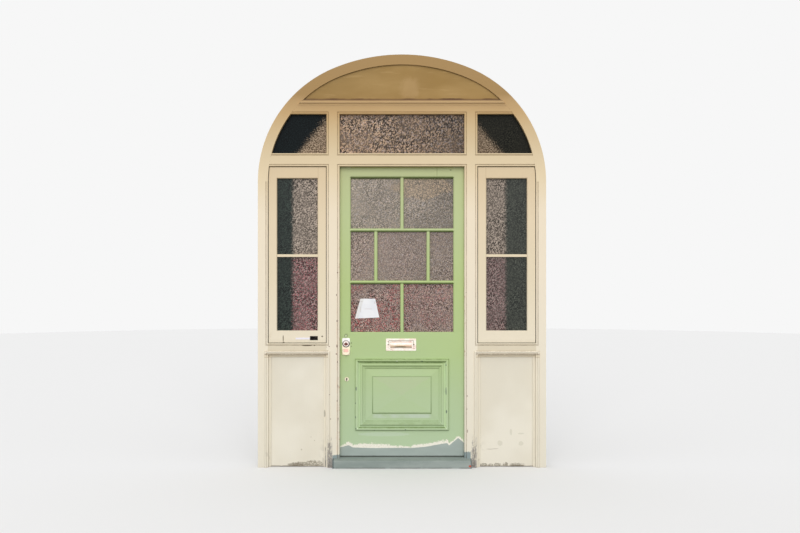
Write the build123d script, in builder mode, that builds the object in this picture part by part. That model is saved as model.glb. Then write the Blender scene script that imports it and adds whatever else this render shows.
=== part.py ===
from build123d import *
import math
import os

# Arched timber door screen in millimetres: a glazed and panelled door between
# two sidelights, under three fanlights and an arched head. X runs to the right
# as seen from outside, Y runs inwards from the outer face, Z runs up from the floor.

# Outer screen
half_span = 872.0
crown_rise = 233.0
crown_turn = 22.7
haunch_inset = 137.0
rim_width = 65.0
stop_width = 12.0
sash_seat = 52.0
arch_fit = 0.3

# Levels and widths of the members
door_half = 406.0
post_width = 85.0
transom_low = 1957.0
transom_height = 86.0
fanlight_height = 255.0
head_height = 89.0
mid_rail_top = 807.0
mid_rail_height = 72.0
door_rebate = 13.0
door_rebate_depth = 50.0

# Quirk bead worked round every opening
bead_width = 12.0
quirk_width = 3.0
bead_sink = 6.0
bead_crown = 0.6
cut_over = 1.0

# Cornice along the head rail
cornice_reach = 20.0
cornice_band = 17.0
cornice_foot = 34.0
cornice_fascia = 4.0
cornice_drip = 3.0
cove_bow = 3.0
cove_step = 3.0

# Threshold
threshold_horn = 44.0
threshold_reach = 40.0
threshold_height = 62.0
threshold_nose = 50.0
threshold_weathering = 12.0
threshold_round = 4.0

# Boards
board_face = 14.0
board_thick = 18.0
board_lap = 12.0
panel_board_face = 30.0
panel_board_lift = 2.0

# Moulding round the side panels
side_mould_lap = 22.0
side_mould_width = 40.0
side_mould_proud = 11.0
side_torus = 13.0
side_torus_foot = 4.4
side_shelf = 2.0
side_shelf_end = 1.0
side_hollow_reach = 3.0
side_hollow_depth = 12.6
side_fillet = 11.0
side_mould_foot = 9.0
side_mould_arris = 2.0

# Sashes beside the door
sash_gap = 4.0
sash_face = 10.0
sash_stile = 54.0
sash_top_rail = 73.0
sash_bottom_rail = 78.0
sash_glass_face = 34.0
sash_bar_height = 1377.5
sash_bar_width = 17.0
sash_bar_face = 16.0
sight_chamfer = 4.0

# Glass and the beads that hold it
glass_thick = 4.0
glass_cover = 8.0
glass_fit = 0.3
fanlight_glass_face = 40.0
glazing_bead_width = 9.0
glazing_bead_thick = 12.0

# Door leaf
leaf_fit = 3.0
leaf_seat_gap = 0.3
leaf_thick = 44.0
leaf_inset = 1.7
leaf_lift = 6.0
upper_stile_width = 80.0
lower_stile_width = 121.0
top_rail_width = 81.0
bottom_rail_width = 177.0
panel_high = 691.0
glazed_low = 877.5
bar_width = 22.0
upper_bar_height = 1544.5
lower_bar_height = 1203.0
middle_bar_offset = 171.6
sight_mould_width = 7.0
sight_mould_depth = 10.0
sight_fillet = 1.5
door_glass_sink = 20.0

# Raised and fielded panel with its bolection moulding
panel_groove = 10.0
panel_tongue_sink = 12.0
panel_tongue_thick = 12.0
panel_back_sink = 34.0
panel_fit = 0.5
field_margin_side = 104.0
field_margin_low = 105.0
field_margin_high = 101.0
field_sink = 3.0
field_step = 5.0
bolection_lap = 12.0
bolection_width = 65.0
bolection_proud = 14.0
bolection_torus = 19.0
torus_undercut = 3.5
roll_start_gap = 9.5
roll_start_sink = 3.5
roll_lead = 3.0
roll_proud = 2.0
roll_end_gap = 12.0
inner_bead_sink = 7.0
inner_bead_arris = 3.0
inner_edge_sink = 9.0

# Butt hinges
hinge_heights = [260.0, 1010.0, 1760.0]
hinge_length = 100.0
hinge_knuckles = 3
hinge_plate = 2.5
hinge_knuckle_radius = 5.0
hinge_pin_radius = 2.5
hinge_pin_running = 0.05
hinge_axis_reach = 6.0
hinge_leaf_depth = 34.0
hinge_parting = 1.0
knuckle_gap = 0.4

# Letter plate and flap
letter_x = -6.0
letter_z = 795.0
plate_width = 198.0
plate_height = 80.0
plate_thick = 3.0
plate_corner = 5.0
plate_bevel = 1.0
slot_width = 140.0
slot_height = 40.0
flap_cover = 3.5
flap_thick = 2.0
flap_gap = 0.3
flap_bulge = 8.0
flap_play = 0.6
flap_knuckle_radius = 3.0
flap_trunnion_radius = 1.5
trunnion_running = 0.05
lug_width = 4.0
lug_rise = 4.0
lug_cover = 1.0
lug_clear = 0.4
rail_slot_clear = 5.0

# Rim cylinder with its finger pull
cylinder_backset = 50.0
cylinder_z = 801.0
pull_width = 50.0
pull_top = 37.5
pull_bottom = 74.0
pull_thick = 3.0
pull_lip = 12.0
pull_top_corner = 8.0
pull_foot_corner = 20.0
pull_lip_height = 42.0
finger_width = 30.0
finger_height = 22.0
finger_web = 3.0
grip_bevel = 2.5
cylinder_radius = 15.8
cylinder_clear = 0.2
cylinder_ring_radius = 21.0
cylinder_ring_height = 7.0
ring_bevel = 2.5
ring_dish_radius = 10.0
plug_radius = 7.5
plug_running = 0.05
plug_sink = 2.0
keyway_width = 2.4
keyway_height = 9.0
keyway_depth = 25.0

# Night latch on the inner face
latch_width = 90.0
latch_height = 66.0
latch_thick = 26.0
latch_bolt_height = 24.0
latch_bolt_thick = 12.0
latch_bolt_length = 30.0
latch_bolt_sink = 5.0
latch_travel = 14.0
latch_fit = 0.3
bolt_nose = 2.0
case_round = 3.0
knob_radius = 14.0
knob_length = 20.0
knob_neck_radius = 6.0
knob_neck_length = 6.0
knob_seat = 8.0
knob_waist = 14.0
knob_bevel = 1.5
snib_slot_length = 16.0
snib_slot_width = 5.0
snib_length = 7.0
snib_width = 4.4
snib_sink = 2.5
snib_proud = 4.0
snib_round = 1.0
snib_offset_z = 24.0
staple_width = 40.0
staple_height = 62.0
staple_thick = 29.0
staple_wall = 3.0
staple_gap = 5.0
staple_foot = 2.5
staple_mouth_height = 34.0

# Mortice deadlock
keyhole_backset = 54.6
keyhole_z = 568.8
keyhole_radius = 4.5
keyhole_slot = 5.0
keyhole_drop = 13.0
escutcheon_radius = 14.5
escutcheon_thick = 2.5
lock_case_height = 104.0
lock_case_thick = 15.4
lock_case_length = 72.0
lock_pocket_fit = 0.3
dead_bolt_height = 24.0
dead_bolt_thick = 10.0
dead_bolt_length = 44.0
dead_bolt_rise = 29.0
dead_travel = 18.0
striker_thick = 2.0
striker_width = 32.0
striker_height = 76.0
bolt_hole_clear = 2.0
bolt_pocket_spare = 4.0

# Painted-over plug of an old hole in the lock stile
old_plug_backset = 51.4
old_plug_z = 857.4
old_plug_radius = 10.0
old_plug_groove = 1.5

# Folded note on a door pane, its corners measured from the lower left of the glazing
note_thick = 0.4
note_corners = [(63.0, 217.5), (160.5, 217.5), (186.5, 94.5), (27.3, 87.5)]

# Screw holes through the jambs
fixing_radius = 5.5
lower_fixings = [150.0, 650.0]
upper_fixing_drops = [707.5, 107.5]

# Outer screen worked out from the sizes above
leaf_face = door_rebate_depth + leaf_seat_gap
leaf_back = leaf_face + leaf_thick
frame_depth = leaf_back + leaf_inset
fixing_depth = (sash_seat + frame_depth) / 2
post_out = door_half + post_width
span_out = half_span + rim_width
transom_high = transom_low + transom_height
head_low = transom_high + fanlight_height
head_high = head_low + head_height
mid_rail_low = mid_rail_top - mid_rail_height
crown_height = head_high + crown_rise
arch_turn = math.radians(crown_turn)
haunch_radius = half_span - haunch_inset
crown_radius = haunch_radius + haunch_inset / math.sin(arch_turn)
crown_centre = crown_height - crown_radius
springing = crown_centre + haunch_inset / math.tan(arch_turn)
fixing_heights = lower_fixings + [springing - drop for drop in upper_fixing_drops]
rebate_half = door_half + door_rebate
threshold_half = door_half + threshold_horn
mould_reach = bead_width + quirk_width
glass_rebate = glass_cover + glass_fit

# Sashes worked out from the screen
sash_in = post_out + sash_gap
sash_out = half_span - sash_gap
sash_low = mid_rail_top + sash_gap
sash_high = transom_low - sash_gap
sash_glass_low = sash_low + sash_bottom_rail
sash_glass_high = sash_high - sash_top_rail
sash_glass_in = sash_in + sash_stile
sash_glass_out = sash_out - sash_stile

# Leaf worked out from its opening
leaf_out = rebate_half - leaf_fit
leaf_low = threshold_height + leaf_lift
leaf_high = transom_low + door_rebate - leaf_fit
leaf_y = (leaf_face, leaf_back)
glazed_half = leaf_out - upper_stile_width
glazed_high = leaf_high - top_rail_width
panel_half = leaf_out - lower_stile_width
panel_low = leaf_low + bottom_rail_width
field_half = panel_half - field_margin_side
field_low = panel_low + field_margin_low
field_high = panel_high - field_margin_high
door_glass_face = leaf_face + door_glass_sink
hinge_axis_x = leaf_out + leaf_fit / 2
hinge_axis_y = frame_depth + hinge_axis_reach

# Locks worked out from the leaf
cylinder_x = cylinder_backset - leaf_out
cylinder_bore = cylinder_radius + cylinder_clear
keyhole_x = keyhole_backset - leaf_out
old_plug_x = old_plug_backset - leaf_out
lock_y = (leaf_face + leaf_back) / 2
dead_bolt_z = keyhole_z + dead_bolt_rise
lock_case_z = keyhole_z + dead_bolt_rise / 2
bolt_hole_depth = dead_bolt_thick + 2 * bolt_hole_clear
bolt_hole_height = dead_bolt_height + 2 * bolt_hole_clear
bolt_pocket_depth = dead_travel + bolt_pocket_spare


def centred(middle, size):
    # Pair of faces at equal distances from a middle
    return (middle - size / 2, middle + size / 2)


def grown(faces, amount):
    # Pair of faces moved apart by an amount at each end
    return (faces[0] - amount, faces[1] + amount)


def face_plane(depth):
    # Upright plane seen from outside, at a depth behind the outer face
    return Plane(origin=(0, depth, 0), x_dir=(1, 0, 0), z_dir=(0, -1, 0))


def block(x_span, y_span, z_span, mode=Mode.ADD):
    # Squared piece or cut between two faces on each axis
    with BuildSketch(face_plane(y_span[0])) as outline:
        with Locations((sum(x_span) / 2, sum(z_span) / 2)):
            Rectangle(x_span[1] - x_span[0], z_span[1] - z_span[0])
    extrude(outline.sketch, amount=y_span[0] - y_span[1], mode=mode)


def prism(points, y_span, mode=Mode.ADD):
    # Piece with a straight-sided outline in the plane of the screen
    with BuildSketch(face_plane(y_span[0])) as outline:
        with BuildLine():
            Polyline(*points, close=True)
        make_face()
    extrude(outline.sketch, amount=y_span[0] - y_span[1], mode=mode)


def arch_outline(grow, low, plane):
    # Inside of the three-centred arch above a level, grown or shrunk all round
    side = half_span + grow
    top = crown_centre + crown_radius + grow
    joint_x = (crown_radius + grow) * math.sin(arch_turn)
    joint_z = crown_centre + (crown_radius + grow) * math.cos(arch_turn)
    start_z = max(low, springing)
    start = math.asin((start_z - springing) / (haunch_radius + grow))
    start_x = haunch_inset + (haunch_radius + grow) * math.cos(start)
    middle = (start + math.pi / 2 - arch_turn) / 2
    haunch_mid_x = haunch_inset + (haunch_radius + grow) * math.cos(middle)
    haunch_mid_z = springing + (haunch_radius + grow) * math.sin(middle)
    with BuildSketch(plane) as outline:
        with BuildLine():
            if low < springing:
                Line((side, low), (side, springing))
                Line((-side, springing), (-side, low))
            ThreePointArc((start_x, start_z), (haunch_mid_x, haunch_mid_z), (joint_x, joint_z))
            ThreePointArc((joint_x, joint_z), (0, top), (-joint_x, joint_z))
            ThreePointArc((-joint_x, joint_z), (-haunch_mid_x, haunch_mid_z), (-start_x, start_z))
            Line((-start_x, low), (start_x, low))
        make_face()
    return outline.sketch


def inside_arch(grow, low, y_span, mode):
    # Slab of the arched space between two depths
    outline = arch_outline(grow, low, face_plane(y_span[0]))
    extrude(outline, amount=y_span[0] - y_span[1], mode=mode)


def worked_mould(path_points, closed, straights, arcs):
    # Cut or moulding run round an opening with mitred corners. The section is
    # drawn with its first axis into the wood and its second inwards from outside.
    start = Vector(path_points[0][0], 0, path_points[0][1])
    following = Vector(path_points[1][0], 0, path_points[1][1])
    run = (following - start).normalized()
    into_wood = run.cross(Vector(0, 1, 0))
    section_plane = Plane(origin=start, x_dir=into_wood, z_dir=run * -1)
    with BuildPart() as mould:
        with BuildLine(face_plane(0)) as path:
            Polyline(*path_points, close=closed)
        with BuildSketch(section_plane) as section:
            with BuildLine():
                for points in straights:
                    Polyline(*points)
                for points in arcs:
                    ThreePointArc(*points)
            make_face()
        sweep(sections=section.sketch, path=path.line, transition=Transition.RIGHT)
    return mould.part


def quirk_bead(path_points, closed=False):
    # Wood removed to leave a bead and its quirk along the edges of an opening
    straight = [
        (0.0, bead_sink),
        (-cut_over, bead_sink),
        (-cut_over, -cut_over),
        (mould_reach, -cut_over),
        (mould_reach, bead_sink),
        (bead_width, bead_sink),
    ]
    bead = ((bead_width, bead_sink), (bead_width / 2, bead_crown), (0.0, bead_sink))
    return worked_mould(path_points, closed, [straight], [bead])


def sight_mould(path_points):
    # Ovolo worked on the outer arris of a glazed opening in the door
    straight = [
        (0.0, leaf_face + sight_mould_depth),
        (-cut_over, leaf_face + sight_mould_depth),
        (-cut_over, leaf_face - cut_over),
        (sight_mould_width, leaf_face - cut_over),
        (sight_mould_width, leaf_face + sight_fillet),
    ]
    bow = math.cos(math.pi / 4)
    bow_point = (
        sight_mould_width * (1 - bow),
        leaf_face + sight_fillet + (sight_mould_depth - sight_fillet) * (1 - bow),
    )
    ovolo = (straight[-1], bow_point, straight[0])
    return worked_mould(path_points, True, [straight], [ovolo])


def rectangle_path(x_span, z_span):
    # Closed path that starts halfway along the foot of an opening
    middle = sum(x_span) / 2
    return [
        (middle, z_span[0]),
        (x_span[0], z_span[0]),
        (x_span[0], z_span[1]),
        (x_span[1], z_span[1]),
        (x_span[1], z_span[0]),
    ]


def finish(piece, name):
    # Name a finished piece and write it out
    piece.label = name
    export_step(piece, f"parts/{name}.step")


def side_name(side):
    # Side 1 is the right as seen from outside, side -1 the left
    return "right" if side > 0 else "left"


def span(side, near, far):
    # Ordered pair of X positions on one side of the door
    return tuple(sorted((side * near, side * far)))


os.makedirs("parts", exist_ok=True)

# Openings in the outer screen, and the beads worked round them
door_opening = [
    (-door_half, -mould_reach),
    (-door_half, transom_low),
    (door_half, transom_low),
    (door_half, -mould_reach),
]
door_bead = quirk_bead(door_opening)
centre_light = rectangle_path((-door_half, door_half), (transom_high, head_low))
centre_light_bead = quirk_bead(centre_light, closed=True)
sash_beads = {}
side_light_beads = {}
for side in (-1, 1):
    sash_span = span(side, post_out, half_span)
    sash_opening = rectangle_path(sash_span, (mid_rail_top, transom_low))
    sash_beads[side] = quirk_bead(sash_opening, closed=True)
    beyond = side * span_out
    light_path = [
        (beyond, transom_high),
        (side * post_out, transom_high),
        (side * post_out, head_low),
        (beyond, head_low),
    ]
    side_light_beads[side] = quirk_bead(light_path[::side])


# Jambs, with the stop for the sash and board, and screw holes
for side in (-1, 1):
    with BuildPart() as jamb:
        block(span(side, half_span, span_out), (0, frame_depth), (0, springing))
        block(span(side, half_span - stop_width, half_span), (sash_seat, frame_depth), (0, springing))
        add(sash_beads[side], mode=Mode.SUBTRACT)
        for height in fixing_heights:
            hole_place = (side * span_out, fixing_depth, height)
            hole_plane = Plane(origin=hole_place, x_dir=(0, 1, 0), z_dir=(side, 0, 0))
            with BuildSketch(hole_plane) as hole:
                Circle(fixing_radius)
            extrude(hole.sketch, amount=-2 * (rim_width + stop_width), mode=Mode.SUBTRACT)
    finish(jamb.part, side_name(side) + "_jamb")

# Arched head, rebated for the board and the outer fanlights
with BuildPart() as board_seat:
    inside_arch(board_lap, head_high, (board_face, frame_depth), Mode.ADD)
with BuildPart() as light_seat:
    light_depth = (fanlight_glass_face, frame_depth)
    inside_arch(glass_rebate, transom_high - glass_rebate, light_depth, Mode.ADD)
    above_light = (head_low + glass_rebate, crown_height + rim_width)
    block((-span_out, span_out), light_depth, above_light, Mode.SUBTRACT)
with BuildPart() as arched_head:
    inside_arch(rim_width, springing, (0, frame_depth), Mode.ADD)
    inside_arch(0, springing, (0, frame_depth), Mode.SUBTRACT)
    add(board_seat.part, mode=Mode.SUBTRACT)
    add(light_seat.part, mode=Mode.SUBTRACT)
finish(arched_head.part, "arched_head")

# Door posts, rebated for the leaf on one side with the sash stop on the other
for side in (-1, 1):
    section = [
        (side * door_half, 0),
        (side * post_out, 0),
        (side * post_out, sash_seat),
        (side * (post_out + stop_width), sash_seat),
        (side * (post_out + stop_width), frame_depth),
        (side * rebate_half, frame_depth),
        (side * rebate_half, door_rebate_depth),
        (side * door_half, door_rebate_depth),
    ]
    with BuildPart() as post:
        with BuildSketch(Plane.XY) as outline:
            with BuildLine():
                Polyline(*section, close=True)
            make_face()
        extrude(outline.sketch, amount=transom_low)
        add(door_bead, mode=Mode.SUBTRACT)
        add(sash_beads[side], mode=Mode.SUBTRACT)
        if side < 0:
            block((-rebate_half - bolt_pocket_depth, -rebate_half), centred(lock_y, bolt_hole_depth),
                  centred(dead_bolt_z, bolt_hole_height), Mode.SUBTRACT)
            block((-rebate_half - striker_thick, -rebate_half), centred(lock_y, striker_width),
                  centred(dead_bolt_z, striker_height), Mode.SUBTRACT)
        else:
            plate_seat = hinge_axis_x + hinge_parting / 2 + hinge_plate
            for height in hinge_heights:
                block((rebate_half, plate_seat), (hinge_axis_y - hinge_leaf_depth, frame_depth),
                      centred(height, hinge_length), Mode.SUBTRACT)
    finish(post.part, side_name(side) + "_post")

# Transom over the door and sashes, with the head rebate and the sash stops
with BuildPart() as transom:
    light_seat_z = (transom_high - glass_rebate, transom_high)
    stop_z = (transom_low - stop_width, transom_low)
    block((-span_out, span_out), (0, frame_depth), (transom_low, transom_high))
    for side in (-1, 1):
        block(span(side, post_out + stop_width, half_span), (sash_seat, frame_depth), stop_z)
        add(sash_beads[side], mode=Mode.SUBTRACT)
        add(side_light_beads[side], mode=Mode.SUBTRACT)
        block(span(side, post_out - glass_rebate, span_out), light_depth, light_seat_z, Mode.SUBTRACT)
    block((-rebate_half, rebate_half), (door_rebate_depth, frame_depth),
          (transom_low, transom_low + door_rebate), Mode.SUBTRACT)
    block(grown((-door_half, door_half), glass_rebate), light_depth, light_seat_z, Mode.SUBTRACT)
    add(door_bead, mode=Mode.SUBTRACT)
    add(centre_light_bead, mode=Mode.SUBTRACT)
    inside_arch(-arch_fit, 0, (0, frame_depth), Mode.INTERSECT)
finish(transom.part, "transom")

# Mullions between the fanlights
for side in (-1, 1):
    section = [
        (side * door_half, 0),
        (side * post_out, 0),
        (side * post_out, fanlight_glass_face),
        (side * (post_out - glass_rebate), fanlight_glass_face),
        (side * (post_out - glass_rebate), frame_depth),
        (side * (door_half + glass_rebate), frame_depth),
        (side * (door_half + glass_rebate), fanlight_glass_face),
        (side * door_half, fanlight_glass_face),
    ]
    with BuildPart() as mullion:
        with BuildSketch(Plane.XY.offset(transom_high)) as outline:
            with BuildLine():
                Polyline(*section, close=True)
            make_face()
        extrude(outline.sketch, amount=head_low - transom_high)
        add(centre_light_bead, mode=Mode.SUBTRACT)
        add(side_light_beads[side], mode=Mode.SUBTRACT)
    finish(mullion.part, side_name(side) + "_mullion")

# Head rail with its cornice, run in one section and cut to the arch
with BuildPart() as head_rail:
    cove_top = (cornice_fascia - cornice_reach, head_high - cornice_band - cornice_drip)
    cove_foot = (-cove_step, head_high - cornice_foot)
    with BuildSketch(Plane(origin=(-span_out, 0, 0), x_dir=(0, 1, 0), z_dir=(1, 0, 0))) as section:
        with BuildLine():
            Polyline(
                cove_foot,
                (0, head_high - cornice_foot),
                (0, head_low),
                (frame_depth, head_low),
                (frame_depth, head_high),
                (-cornice_reach, head_high),
                (-cornice_reach, head_high - cornice_band),
                (cornice_fascia - cornice_reach, head_high - cornice_band),
                cove_top,
            )
            SagittaArc(cove_top, cove_foot, cove_bow)
        make_face()
    extrude(section.sketch, amount=2 * span_out)
    light_seat_z = (head_low, head_low + glass_rebate)
    add(centre_light_bead, mode=Mode.SUBTRACT)
    block(grown((-door_half, door_half), glass_rebate), light_depth, light_seat_z, Mode.SUBTRACT)
    for side in (-1, 1):
        add(side_light_beads[side], mode=Mode.SUBTRACT)
        block(span(side, post_out - glass_rebate, span_out), light_depth, light_seat_z, Mode.SUBTRACT)
    inside_arch(-arch_fit, 0, (-cornice_reach, frame_depth), Mode.INTERSECT)
finish(head_rail.part, "head_rail")

# Board that closes the arch above the head rail
with BuildPart() as tympanum_board:
    inside_arch(board_lap - arch_fit, head_high, (board_face, board_face + board_thick), Mode.ADD)
finish(tympanum_board.part, "tympanum_board")

# Threshold, weathered in front, with horns across the feet of the posts
with BuildPart() as threshold:
    with BuildSketch(Plane.YZ) as section:
        with BuildLine():
            Polyline(
                (-threshold_reach, 0),
                (-threshold_reach, threshold_nose),
                (threshold_weathering, threshold_height),
                (frame_depth, threshold_height),
                (frame_depth, 0),
                close=True,
            )
        make_face()
    extrude(section.sketch, amount=threshold_half, both=True)
    for side in (-1, 1):
        block(span(side, door_half, threshold_half), (0, frame_depth), (0, threshold_height), Mode.SUBTRACT)
    fore_edges = threshold.edges().filter_by(Axis.X).sort_by(Axis.Y)[:2]
    fillet(fore_edges.sort_by(Axis.Z)[-1], radius=threshold_round)
    block((-rebate_half, rebate_half), (door_rebate_depth, frame_depth), (0, threshold_height))
finish(threshold.part, "threshold")

# Middle rails under the sashes, with stops for the sash above and the board below
for side in (-1, 1):
    with BuildPart() as mid_rail:
        block(span(side, post_out, half_span), (0, sash_seat), (mid_rail_low, mid_rail_top))
        block(span(side, post_out + stop_width, half_span - stop_width), (sash_seat, frame_depth),
              (mid_rail_low - stop_width, mid_rail_top + stop_width))
        add(sash_beads[side], mode=Mode.SUBTRACT)
    finish(mid_rail.part, side_name(side) + "_mid_rail")

# Lower side boards and the moulding that laps them and the frame round them
for side in (-1, 1):
    with BuildPart() as panel_board:
        block(span(side, post_out, half_span), (panel_board_face, sash_seat),
              (panel_board_lift, mid_rail_low))
    finish(panel_board.part, side_name(side) + "_panel_board")

    mould_inner = side_mould_lap - side_mould_width
    torus_near = side_mould_lap - side_torus
    torus_start = (side_mould_lap, -side_torus_foot)
    torus_crown = (side_mould_lap - side_torus / 2, -side_mould_proud)
    torus_end = (torus_near, -side_torus_foot)
    hollow_start = (-side_shelf_end, -side_shelf)
    hollow_low = panel_board_face - side_mould_foot
    hollow_end = (mould_inner + side_fillet, hollow_low)
    face_and_back = [
        hollow_end,
        (mould_inner + side_mould_arris, hollow_low),
        (mould_inner, hollow_low + side_mould_arris),
        (mould_inner, panel_board_face),
        (0, panel_board_face),
        (0, 0),
        (side_mould_lap, 0),
        torus_start,
    ]
    shelf = [torus_end, (torus_near, -side_shelf), hollow_start]
    torus = (torus_start, torus_crown, torus_end)
    hollow = (hollow_start, (-side_hollow_reach, side_hollow_depth), hollow_end)
    x_in = side * post_out
    x_out = side * half_span
    side_path = [(x_in, 0), (x_in, mid_rail_low), (x_out, mid_rail_low), (x_out, 0)]
    side_moulding = worked_mould(side_path[::side], False, [face_and_back, shelf], [torus, hollow])
    finish(side_moulding, side_name(side) + "_panel_moulding")

# Sashes, their glass, and the bar planted across in front of it
for side in (-1, 1):
    sash_span = span(side, sash_in, sash_out)
    sight_span = span(side, sash_glass_in, sash_glass_out)
    with BuildPart() as sash:
        block(sash_span, (sash_face, sash_seat), (sash_low, sash_high))
        block(sight_span, (sash_face, sash_seat), (sash_glass_low, sash_glass_high), Mode.SUBTRACT)
        sight_edges = sash.faces().sort_by(Axis.Y)[0].inner_wires()[0].edges()
        chamfer(sight_edges, length=sight_chamfer)
        block(grown(sight_span, glass_rebate), (sash_glass_face, sash_seat),
              grown((sash_glass_low, sash_glass_high), glass_rebate), Mode.SUBTRACT)
        block(sight_span, (sash_bar_face, sash_glass_face), centred(sash_bar_height, sash_bar_width))
        inside_arch(-sash_gap, 0, (sash_face, sash_seat), Mode.INTERSECT)
    finish(sash.part, side_name(side) + "_sash")
    with BuildPart() as sash_glass:
        block(grown(sight_span, glass_cover), (sash_glass_face, sash_glass_face + glass_thick),
              grown((sash_glass_low, sash_glass_high), glass_cover))
    finish(sash_glass.part, side_name(side) + "_sash_glass")


def side_light(grow, side, y_span, mode=Mode.ADD):
    # Space of an outer fanlight, cut to the arch, grown or shrunk all round
    inside_arch(grow, transom_high - grow, y_span, mode)
    above = (head_low + grow, crown_height + rim_width)
    whole = (transom_high - glass_rebate - cut_over, crown_height + rim_width)
    block((-span_out, span_out), y_span, above, Mode.SUBTRACT)
    block(span(side, -span_out, post_out - grow), y_span, whole, Mode.SUBTRACT)


# Fanlight glass
fanlight_glass_span = (fanlight_glass_face, fanlight_glass_face + glass_thick)
with BuildPart() as centre_fanlight_glass:
    block(grown((-door_half, door_half), glass_cover), fanlight_glass_span,
          grown((transom_high, head_low), glass_cover))
finish(centre_fanlight_glass.part, "centre_fanlight_glass")
for side in (-1, 1):
    with BuildPart() as fanlight_glass:
        side_light(glass_cover, side, fanlight_glass_span)
    finish(fanlight_glass.part, side_name(side) + "_fanlight_glass")


def bead_ring(x_span, y_span, z_span, outer):
    # Square glazing bead round a rectangular opening, inside its rebate
    inner = outer - glazing_bead_width
    block(grown(x_span, outer), y_span, grown(z_span, outer))
    block(grown(x_span, inner), y_span, grown(z_span, inner), Mode.SUBTRACT)


# Glazing beads behind the fanlights and the sash glass
bead_y = (fanlight_glass_span[1], fanlight_glass_span[1] + glazing_bead_thick)
sash_bead_y = (sash_glass_face + glass_thick, sash_glass_face + glass_thick + glazing_bead_thick)
bead_parts = []
for side in (-1, 1):
    with BuildPart() as light_bead:
        side_light(glass_cover, side, bead_y)
    with BuildPart() as light_bead_inside:
        side_light(glass_cover - glazing_bead_width, side, bead_y)
    with BuildPart() as ring:
        add(light_bead.part)
        add(light_bead_inside.part, mode=Mode.SUBTRACT)
    bead_parts.append(ring.part)
    with BuildPart() as ring:
        sight_span = span(side, sash_glass_in, sash_glass_out)
        bead_ring(sight_span, sash_bead_y, (sash_glass_low, sash_glass_high), glass_cover)
    bead_parts.append(ring.part)
with BuildPart() as frame_glazing_beads:
    bead_ring((-door_half, door_half), bead_y, (transom_high, head_low), glass_cover)
    for ring_part in bead_parts:
        add(ring_part)
finish(frame_glazing_beads.part, "frame_glazing_beads")

# Glazed openings of the door, from the bottom row to the top
lower_edge = lower_bar_height - bar_width / 2
middle_low = lower_bar_height + bar_width / 2
middle_high = upper_bar_height - bar_width / 2
top_low = upper_bar_height + bar_width / 2
half_bar = bar_width / 2
centre_half = middle_bar_offset - half_bar
side_near = middle_bar_offset + half_bar
panes = {
    "bottom_left": ((-glazed_half, -half_bar), (glazed_low, lower_edge)),
    "bottom_right": ((half_bar, glazed_half), (glazed_low, lower_edge)),
    "middle_left": ((-glazed_half, -side_near), (middle_low, middle_high)),
    "middle_centre": ((-centre_half, centre_half), (middle_low, middle_high)),
    "middle_right": ((side_near, glazed_half), (middle_low, middle_high)),
    "top_left": ((-glazed_half, -half_bar), (top_low, glazed_high)),
    "top_right": ((half_bar, glazed_half), (top_low, glazed_high)),
}
sight_cuts = {name: sight_mould(rectangle_path(*spans)) for name, spans in panes.items()}


def glaze_cut(names):
    # Ovolo in front and glass rebate behind, round the panes named
    for name in names:
        x_span, z_span = panes[name]
        add(sight_cuts[name], mode=Mode.SUBTRACT)
        block(grown(x_span, glass_rebate), (door_glass_face, leaf_back), grown(z_span, glass_rebate),
              Mode.SUBTRACT)


groove_face = leaf_face + panel_tongue_sink
groove_y = (groove_face, groove_face + panel_tongue_thick)
panel_x = (-panel_half, panel_half)
panel_z = (panel_low, panel_high)


def cut_panel_groove():
    # Groove for the panel's tongue, cut in each piece of the frame round it
    block(grown(panel_x, panel_groove), groove_y, grown(panel_z, panel_groove), Mode.SUBTRACT)


def keyhole(y_span, mode=Mode.SUBTRACT):
    # Keyhole of the deadlock, round at the top with a slot below
    with BuildSketch(face_plane(y_span[0])) as outline:
        with Locations((keyhole_x, keyhole_z)):
            Circle(keyhole_radius)
        with Locations((keyhole_x, keyhole_z - keyhole_drop / 2)):
            Rectangle(keyhole_slot, keyhole_drop)
    extrude(outline.sketch, amount=y_span[0] - y_span[1], mode=mode)


def round_piece(centre, radius, y_span, mode=Mode.ADD):
    # Turned piece or bore along Y
    with BuildSketch(face_plane(y_span[0])) as outline:
        with Locations(centre):
            Circle(radius)
    extrude(outline.sketch, amount=y_span[0] - y_span[1], mode=mode)


# Stiles, cut back above the lock rail on a sloping shoulder to carry the glass
for side in (-1, 1):
    outline_points = [
        (side * leaf_out, leaf_low),
        (side * panel_half, leaf_low),
        (side * panel_half, panel_high),
        (side * glazed_half, glazed_low),
        (side * glazed_half, leaf_high),
        (side * leaf_out, leaf_high),
    ]
    row_side = side_name(side)
    with BuildPart() as stile:
        prism(outline_points, leaf_y)
        cut_panel_groove()
        glaze_cut(["bottom_" + row_side, "middle_" + row_side, "top_" + row_side])
        if side < 0:
            round_piece((cylinder_x, cylinder_z), cylinder_bore, leaf_y, Mode.SUBTRACT)
            keyhole(leaf_y)
            block((-leaf_out, lock_case_length + lock_pocket_fit - leaf_out),
                  grown(centred(lock_y, lock_case_thick), lock_pocket_fit),
                  grown(centred(lock_case_z, lock_case_height), lock_pocket_fit), Mode.SUBTRACT)
            plug_groove_y = (leaf_face, leaf_face + old_plug_groove)
            plug_place = (old_plug_x, old_plug_z)
            round_piece(plug_place, old_plug_radius, plug_groove_y, Mode.SUBTRACT)
            round_piece(plug_place, old_plug_radius - old_plug_groove, plug_groove_y)
        else:
            plate_seat = hinge_axis_x - hinge_parting / 2 - hinge_plate
            for height in hinge_heights:
                block((plate_seat, leaf_out), (hinge_axis_y - hinge_leaf_depth, leaf_back),
                      centred(height, hinge_length), Mode.SUBTRACT)
    finish(stile.part, "lock_stile" if side < 0 else "hinge_stile")

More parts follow.
